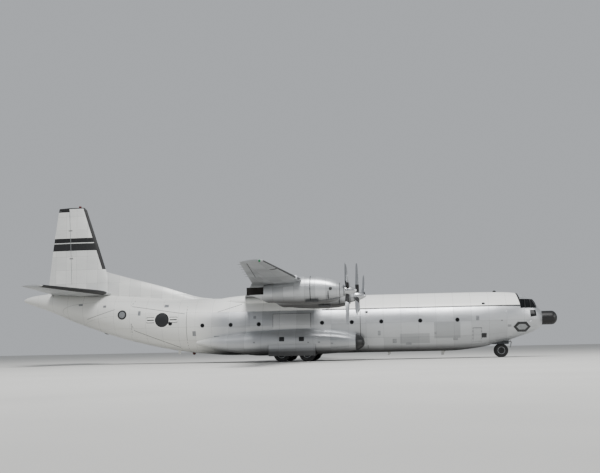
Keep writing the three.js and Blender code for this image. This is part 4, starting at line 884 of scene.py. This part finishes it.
# Fin, rudder, tailplane and elevators: sheet over spars with black rubber de-icing boots on the front edges,
# two dark bands across fin and rudder, and a fillet that leads the fin out of the body's crown.
FIN_ROWS = [(6.2, 39.48, 45.83, 0.36), (7.4, 39.9, 45.68, 0.32), (10.82, 40.99, 45.28, 0.22),
            (14.22, 42.1, 44.78, 0.13), (14.47, 42.35, 44.72, 0.09)]
TAIL_ROWS = [(0.02, 39.6, 45.25, 6.42, 0.3), (1.3, 40.0, 45.2, 6.5, 0.28), (9.0, 42.88, 44.82, 6.74, 0.11),
             (9.15, 43.05, 44.7, 6.74, 0.06)]
RUDDER_LINE, ELEVATOR_LINE = ((7.36, 43.43), (14.26, 43.73), 0), ((1.7, 42.7), (8.85, 44.12), 0)
fin = Surface([(z, lead, trail, 0, 2 * half / (trail - lead), 0) for z, lead, trail, half in FIN_ROWS],
              upright=True)
tailplane = Surface([(y, lead, trail, z, 2 * half / (trail - lead), 0)
                     for y, lead, trail, z, half in TAIL_ROWS])


def upward(tree, xyz):
    return xyz[2]


def fin_paint(tree, xyz, look):
    """Pale lacquer with the two bands, the boot on the leading edge and the rudder's black cap."""
    x, z = xyz[0], xyz[2]
    (foot, foot_lead), (tip, tip_lead) = FIN_ROWS[1][:2], FIN_ROWS[3][:2]
    slope = (tip_lead - foot_lead) / (tip - foot)
    edge = slanted(tree, z, slope, x)
    lead = x_of(foot_lead) + slope * foot * MODEL_SCALE
    boot = together(tree, within(tree, edge, lead - 0.14, lead + 1), within(tree, z, 4.35, 7.3))
    for low, high, colour, rough in ((11.22, 11.64, "#131314", 0.4), (10.47, 11.14, "#1b1b1c", 0.42)):
        look = painted(tree, look, within(tree, z, low * MODEL_SCALE, high * MODEL_SCALE), colour, rough)
    look = painted(tree, look, boot, "#111112", 0.6)
    (hinge_foot, hinge_station), hinge_slope = RUDDER_LINE[0], 0.0435
    swept = slanted(tree, z, hinge_slope, x)
    hinge = x_of(hinge_station) + hinge_slope * hinge_foot * MODEL_SCALE
    # Painted shade: a thin dark grey line along the rudder's hinge gap.
    line = together(tree, within(tree, swept, hinge - 0.012, hinge + 0.012), within(tree, z, 3.68, 7.13))
    look = painted(tree, look, line, "#6a6c6d", 0.6)
    for level in (6.17, 4.87):
        tick = together(tree, within(tree, swept, hinge - 0.08, hinge + 0.1),
                        within(tree, z, level - 0.02, level + 0.02))
        look = painted(tree, look, tick, "#161617", 0.6)
    look = painted(tree, look, within(tree, z, 7.19, 9), "#111112", 0.6)
    cap = together(tree, within(tree, x, -99, x_of(43.75)), within(tree, z, 7.04, 9))
    return painted(tree, look, cap, "#111112", 0.6)


def tail_paint(tree, xyz, look):
    """Boot along the tailplane's swept leading edge."""
    x, y = xyz[0], outward(tree, xyz)
    (root, root_lead), (tip, tip_lead) = TAIL_ROWS[1][:2], TAIL_ROWS[2][:2]
    slope = (tip_lead - root_lead) / (tip - root)
    edge = slanted(tree, y, slope, x)
    lead = x_of(root_lead) + slope * root * MODEL_SCALE
    boot = together(tree, within(tree, edge, lead - 0.21, lead + 1), within(tree, y, 0.5, 4.5))
    return painted(tree, look, boot, "#111112", 0.6)


# Grey-white lacquer over clean sheet: pale and satin, with little of the metal's own shine.
fin_skin = riveted_sheet("pale_fin_sheet", ("#c9cac8", "#e2e2de"), 0.25, (0.34, 0.46), upward,
                         (0.5, 0.62), fin_paint)
tail_skin = riveted_sheet("pale_tailplane_sheet", ("#9fa1a2", "#c4c6c6"), 0.5, (0.34, 0.46), spanwise,
                          (0.44, 0.6), tail_paint)
fin_root = carved(fin.strip("s", (6.2, 7.36), "full", RUDDER_LINE), body_core, keep_tool=True)
fin_strips = [fin_root, fin.strip("s", (7.36, 7.4, 10.82, 14.22, 14.26), "cove", RUDDER_LINE),
              fin.strip("s", (14.26, 14.36, 14.47), "full", RUDDER_LINE)]
fitted(joined("fin_skin_plates", fin_strips), fin_skin, "airframe", "fin")
rudder = fin.strip("rudder_skin", (7.372, 7.4, 10.82, 14.22, 14.248), "panel", RUDDER_LINE)
fitted(rudder, fin_skin, "rudder", "rudder")
DORSAL_ROWS = [(30.4, 5.75, 0.12), (31.3, 5.86, 0.2), (35.13, 7.0, 0.24), (39.9, 8.36, 0.2), (40.9, 8.7, 0.1)]
dorsal_rings, foot_z = [], 5.3
for s in np.linspace(30.4, 40.9, 34):
    _, top, half = eased(DORSAL_ROWS, s)
    arc = [(cos(a), sin(a)) for a in np.linspace(0, pi, 22)]
    dorsal_rings.append([at(s, c * half * (1 + 0.6 * (1 - h)) * min(1, 1.15 - h ** 6),
                            foot_z + h * (top - foot_z)) for c, h in arc])
dorsal = carved(lofted("dorsal_fillet", dorsal_rings), body_core, keep_tool=True)
fitted(dorsal, fin_skin, "airframe")
tail_root = carved(tailplane.strip("s", (-0.2, 1.3, 1.7), "full", ELEVATOR_LINE), body_core, keep_tool=True)
tail_strips = [tail_root, tailplane.strip("s", (1.7, 8.85), "cove", ELEVATOR_LINE),
               tailplane.strip("s", (8.85, 9.0, 9.08, 9.15), "full", ELEVATOR_LINE)]
left_tail = joined("tailplane_skin_left", tail_strips)
right_tail = mirrored(left_tail, "tailplane_skin_right")
left_elevator = tailplane.strip("elevator_skin_left", (1.7 + END_GAP, 8.85 - END_GAP), "panel", ELEVATOR_LINE)
right_elevator = mirrored(left_elevator, "elevator_skin_right")
for tail, elevator, hand in ((left_tail, left_elevator, "left"), (right_tail, right_elevator, "right")):
    fitted(tail, tail_skin, "airframe", f"tailplane_{hand}")
    fitted(elevator, tail_skin, f"elevator_{hand}", f"elevator_{hand}")


# Fittings on the skin: portholes with rubber seals, pod windows, access plates, plain discs on the tail,
# beacons, blade antennas, static dischargers, landing lights and the bump that guards the tail.
def on_body(station, z, out=0.0, side=-1):
    """Point on the body's side at a station and height, a little proud of the skin."""
    _, top, bottom, half = eased(BODY_ROWS, station)
    middle, tall = (top + bottom) / 2, (top - bottom) / 2
    lift = min(max((z - middle) / tall, -0.999), 0.999)
    wide = half * sqrt(1 - lift * lift)
    normal = Vector((0, wide / half ** 2, (z - middle) / tall ** 2)).normalized()
    return at(station, side * (wide + normal.y * out), z + normal.z * out)


def on_pod(station, z, out=0.0, side=-1):
    """Point on the outer side of a gear pod."""
    _, top, bottom, outer = eased(POD_ROWS, station)
    drop = min(max(((top + bottom) / 2 - z) / ((top - bottom) / 2), -0.999), 0.999)
    a = asin(sqrt(1 - min(abs(drop) ** 1.25, 1) ** 2))
    return at(station, side * (POD_MIDDLE + sin(a) ** 0.8 * (outer - POD_MIDDLE) + out), z)


def rounded(station, z, half_long, half_high, radius, steps=6):
    """Rounded rectangle as points of station and z."""
    points = []
    for k, (sx, sz) in enumerate(((1, 1), (-1, 1), (-1, -1), (1, -1))):
        for a in np.linspace(0, pi / 2, steps):
            turn = a + k * pi / 2
            points.append((station + sx * (half_long - radius) + radius * cos(turn),
                           z + sz * (half_high - radius) + radius * sin(turn)))
    return points


def patch(name, outline, thick, out, side=-1, surface=on_body):
    """Thin plate that follows the skin, its outside standing out by a given amount."""
    s0, z0 = np.mean(outline, axis=0)
    rings = [[surface(s, z, out - thick, side) for s, z in outline]]
    rings += [[surface(s0 + (s - s0) * share, z0 + (z - z0) * share, out, side) for s, z in outline]
              for share in (1, 0.75, 0.5, 0.25, 0.01)]
    return lofted(name, rings)


# Rubber seals are dull dark grey, access plates bright where hands polish them, and the discs plain enamel.
seal_rubber = plain("seal_rubber", "#3c3d3e", 0.55)
plate_metal = plain("access_plate_metal", "#909294", 0.38, 0.7, mottle=0.15)
dark_plate = plain("dark_painted_plate", "#1a1b1d", 0.4)
disc_pale = plain("pale_enamel", "#e4e4e0", 0.35)
PORTHOLES = [(33.74, 3.53)] + [(s, 3.29) for s in (30.84, 28.32, 25.84, 20.3, 17.73, 15.19, 11.86, 8.71)]
POD_PLATES = [(21.42, 1.62), (20.5, 1.62), (26.1, 1.7), (19.4, 1.5)]
BODY_PLATES = [
    (4.3, 2.7, 0.16, 0.1), (8.9, 1.7, 0.2, 0.14), (14.1, 1.6, 0.18, 0.18), (15.4, 2.3, 0.12, 0.2),
    (12.9, 1.35, 0.25, 0.1), (29.6, 2.2, 0.25, 0.16), (31.6, 2.6, 0.16, 0.22), (36.6, 4.5, 0.12, 0.2),
    (39.9, 5.2, 0.14, 0.1), (42.2, 5.4, 0.2, 0.09), (34.2, 5.1, 0.2, 0.12), (26.2, 3.9, 0.12, 0.12),
    (7.0, 3.4, 0.14, 0.2),
]
SIDE_PLATE = {-1: (10.6, 2.2, 0.1, 0.1), 1: (14.4, 3.8, 0.1, 0.1)}
FREIGHT_DOOR = (9.2, 12.4)
LARGE_DISC, BAR_SHIFT, SMALL_DISC = (34.5, 3.86), 1.04, (38.2, 4.4)
for side, hand in SIDES:
    seals, glasses, plates, marks, pale = [], [], [], [], []

    def lay(pile, s, z, half_long, half_high, corner, depth, out, surface=on_body, steps=6):
        """Adds a rounded plate at a station and height of this side to a pile of like ones."""
        outline = rounded(s, z, half_long, half_high, corner, steps)
        pile.append(patch("plate", outline, depth, out, side, surface))

    def disc(pile, s, z, radius, out, depth=0.02, steps=14):
        """Adds a round plate, whose straight edges are next to nothing."""
        lay(pile, s, z, radius, radius, radius - 0.001, depth, out, steps=steps)

    for s, z in PORTHOLES:
        if side < 0 or not FREIGHT_DOOR[0] < s < FREIGHT_DOOR[1]:
            disc(seals, s, z, 0.19, 0.008, 0.03, 6)
            disc(glasses, s, z, 0.14, 0.014, 0.03, 6)
    for s, z in ((16.45, 4.13), (6.44, 4.63)):
        lay(seals, s, z, 0.14, 0.09, 0.089, 0.03, 0.008)
        lay(glasses, s, z, 0.11, 0.065, 0.064, 0.03, 0.014)
    for s, z in ((23.71, 1.94), (22.0, 1.92)):
        lay(marks, s, z, 0.22, 0.19, 0.05, 0.03, 0.012, on_pod)
    for s, z in POD_PLATES:
        lay(plates, s, z, 0.09, 0.06, 0.02, 0.02, 0.01, on_pod)
    lay(marks, 6.47, 1.92, 0.22, 0.19, 0.03, 0.03, 0.01)
    disc(marks, 4.95, 3.15, 0.05, 0.012, steps=6)
    for sizes in BODY_PLATES + [SIDE_PLATE[side]]:
        lay(plates, *sizes, 0.04, 0.02, 0.006)
    for pile, long, high, depth, out in ((marks, 0.76, 0.48, 0.04, 0.03), (plates, 0.5, 0.26, 0.03, 0.04)):
        hexagon = [(3.2 + long * cos(a), 2.6 + high * sin(a)) for a in circle(6)]
        pile.append(patch("plate", hexagon, depth, out, side))
    corners = [(2.5, 4.0), (2.44, 3.42), (1.9, 3.5), (1.98, 4.0), (2.5, 4.0)]
    lower_window = [(a[0] + (b[0] - a[0]) * k / 5, a[1] + (b[1] - a[1]) * k / 5)
                    for a, b in zip(corners[:-1], corners[1:]) for k in range(5)]
    glasses.append(patch("plate", lower_window, 0.04, 0.012, side))
    disc(pale, *LARGE_DISC, 0.72, 0.006)
    disc(marks, *LARGE_DISC, 0.64, 0.009)
    for s in (LARGE_DISC[0] - BAR_SHIFT, LARGE_DISC[0] + BAR_SHIFT):
        for pile, half_long, half_high, out in ((marks, 0.36, 0.25, 0.006), (pale, 0.32, 0.2, 0.009),
                                                (marks, 0.32, 0.05, 0.012)):
            lay(pile, s, LARGE_DISC[1], half_long, half_high, 0.02, 0.02, out)
    disc(marks, *SMALL_DISC, 0.42, 0.006, steps=12)
    disc(plates, *SMALL_DISC, 0.28, 0.009, steps=12)
    for name, things, material in (("porthole_seals", seals, seal_rubber), ("porthole_glass", glasses, pane),
                                   ("access_plates", plates, plate_metal), ("dark_plates", marks, dark_plate),
                                   ("pale_plates", pale, disc_pale)):
        fitted(joined(f"{name}_{hand}", things), material, "airframe")


def seam(path, side):
    """Thin strip of sealant along a panel edge, through points of station and z."""
    rings, width, out, depth = [], 0.035, 0.004, 0.02
    for (s0, z0), (s1, z1) in zip(path[:-1], path[1:]):
        length = hypot(s1 - s0, z1 - z0)
        count = max(2, int(length / 0.25))
        ds, dz = (z1 - z0) / length * width / 2, -(s1 - s0) / length * width / 2
        for k in range(count + 1):
            s, z = s0 + (s1 - s0) * k / count, z0 + (z1 - z0) * k / count
            rings.append([on_body(s + edge * ds, z + edge * dz, proud, side)
                          for edge, proud in ((1, out - depth), (-1, out - depth), (-1, out), (1, out))])
    return lofted("seam", rings)


sealant = plain("dark_sealant", "#4a4b4c", 0.6)
SEAMS = [
    [(37.35, 2.6), (37.35, 3.61), (37.1, 2.98)], [(37.09, 2.98), (33.05, 1.42)],
    [(37.42, 5.16), (37.06, 5.85)], [(37.33, 5.13), (32.43, 4.35)], [(29.52, 4.44), (27.43, 5.1)],
    [(32.28, 1.3), (32.28, 5.0)], [(6.68, 1.35), (6.68, 2.57), (7.43, 2.57), (7.43, 1.35)],
    [(24.6, 4.15), (21.3, 4.15), (21.3, 2.9)], [(24.6, 4.15), (24.6, 3.0)], [(20.28, 4.39), (19.1, 4.68)],
    [(38.9, 4.9), (41.6, 4.1)], [(16.4, 1.3), (16.4, 1.0)],
]
for side, hand in SIDES:
    fitted(joined(f"panel_sealant_{hand}", [seam(path, side) for path in SEAMS]), sealant, "airframe")


def blade_antenna(station, z, tall, long, lean=0.25, thick=0.03):
    """Swept blade antenna on the middle line, hanging where tall is negative."""
    rings = []
    for share in (0.0, 0.5, 0.92, 1.0):
        half = long / 2 * (1 - 0.45 * share)
        middle = station + lean * share * abs(tall)
        width = thick * (1 - 0.6 * share)
        rings.append([at(middle + half * cos(t), width * sin(t), z + tall * share)
                      for t in circle(14)])
    return lofted("antenna", rings)


# Lamp glass is coloured through and polished, so it is deep in tone with a sharp shine.
lamp_red = plain("red_lamp_glass", "#4a0d0a", 0.15, mottle=0.03)
lamp_clear = plain("clear_lamp_glass", "#c9ccd0", 0.08, 0.2, mottle=0.03)
lamp_green = plain("green_lamp_glass", "#14613a", 0.15, mottle=0.03)
DOMES = [
    ("fin_beacon", (42.75, 0, 14.52), 0.13, 1, lamp_red),
    ("belly_beacon", (32.11, 0, 0.9), 0.16, 1, lamp_red),
    ("tail_bumper", (40.11, 0, 2.95), 0.32, 0.7, plate_metal),
    ("sextant_dome", (5.3, 0, 5.66), 0.17, 1, pane),
    ("wing_tip_lamp_port", (22.05, 27.33, 6.62), 0.09, 1, lamp_red),
    ("wing_tip_lamp_starboard", (22.05, -27.33, 6.62), 0.09, 1, lamp_green),
]
for name, centre, radius, squash, material in DOMES:
    fitted(ball(name, centre, radius, squash), material, "airframe")
antennas = [blade_antenna(*sizes) for sizes in ((33.4, 1.14, -0.34, 0.3), (9.9, 0.67, -0.36, 0.34),
                                                (14.6, 0.67, -0.28, 0.3))]
fitted(joined("blade_antennas", antennas), disc_pale, "airframe")
for side, hand in SIDES:
    masts = []
    for s, z in ((2.3, 3.35), (2.6, 3.1)):
        root, tip, ahead = on_body(s, z, 0, side), on_body(s, z, 0.22, side), Vector((0.16, 0, 0))
        for a, b, r in ((root, tip, 0.011), (tip, tip + ahead, 0.009)):
            way = (b - a).normalized()
            across = way.orthogonal().normalized()
            other = way.cross(across)
            rings = [[p + (across * cos(t) + other * sin(t)) * r for t in circle(12)]
                     for p in (a, b)]
            masts.append(lofted("mast", rings))
    fitted(joined(f"pitot_masts_{hand}", masts), bare_steel, "airframe")
    wicks = []
    for span in (18.5, 20.0, 21.5, 23.0, 24.5, 26.0):
        start = wing.point(span, wing.row(span)[1] - 0.02, 0)
        start.y *= side
        rings = [[start + Vector((-x, r * cos(t), r * sin(t))) for t in circle(8)]
                 for x, r in ((0, 0.005), (0.11, 0.003))]
        wicks.append(lofted("wick", rings))
    fitted(joined(f"static_wicks_{hand}", wicks), dark_plate, "aileron_left" if side > 0 else "aileron_right")
    lamps = []
    for span in (9.4, 15.2):
        lead = wing.row(span)[0]
        front = wing.point(span, lead + 0.05, wing.rise(span, lead + 0.05, 0))
        middle = (LENGTH / 2 - front.x / MODEL_SCALE, side * span, front.z / MODEL_SCALE)
        lamps.append(ball("lamp", middle, 0.15))
    fitted(joined(f"landing_lamps_{hand}", lamps), lamp_clear, "airframe")


# Floor, light and camera: a plain pale floor, a broad soft key from above the camera's side, a low front fill
# and an even pale surround. The camera stands low to starboard, as for the photograph.
bpy.data.objects.remove(body_core)
bpy.ops.mesh.primitive_plane_add(size=400, location=(0, 0, 0))
floor = bpy.context.object
floor.name = "studio_floor"
floor.data.materials.append(plain("pale_floor", "#c9c8c4", 0.8, mottle=0.03, scale=0.4, bump=0.0))
world = bpy.data.worlds.new("soft_surround")
bpy.context.scene.world = world
world.use_nodes = True
background = world.node_tree.nodes["Background"]
background.inputs["Color"].default_value = linear("#dfe3e8")
background.inputs["Strength"].default_value = 0.62
LIGHTS = [("key_light", (6, -26, 40), 16, 26000), ("front_fill", (44, -14, 12), 14, 5200)]
for name, spot, size, power in LIGHTS:
    data = bpy.data.lights.new(name, "AREA")
    data.energy, data.size = power, size
    lamp = placed(name, data)
    lamp.location = spot
    lamp.rotation_euler = (Vector((0, 0, 2.5)) - Vector(spot)).to_track_quat("-Z", "Y").to_euler()
focal_px, yaw, pitch, roll = 985, 0.1042, 0.1122, -0.0205
forward_axis = Vector((-sin(yaw) * cos(pitch), cos(yaw) * cos(pitch), sin(pitch)))
level = Vector((cos(yaw), sin(yaw), 0))
upright = level.cross(forward_axis)
right_axis = level * cos(roll) + upright * sin(roll)
up_axis = upright * cos(roll) - level * sin(roll)
camera_data = bpy.data.cameras.new("camera")
camera_data.lens, camera_data.sensor_width = focal_px / 600 * 36, 36
camera_data.clip_end = 1000
camera = placed("camera", camera_data)
turn = Matrix((right_axis, up_axis, -forward_axis)).transposed().to_4x4()
camera.matrix_world = Matrix.Translation((5.43, -43.9, 0.6)) @ turn
bpy.context.scene.camera = camera
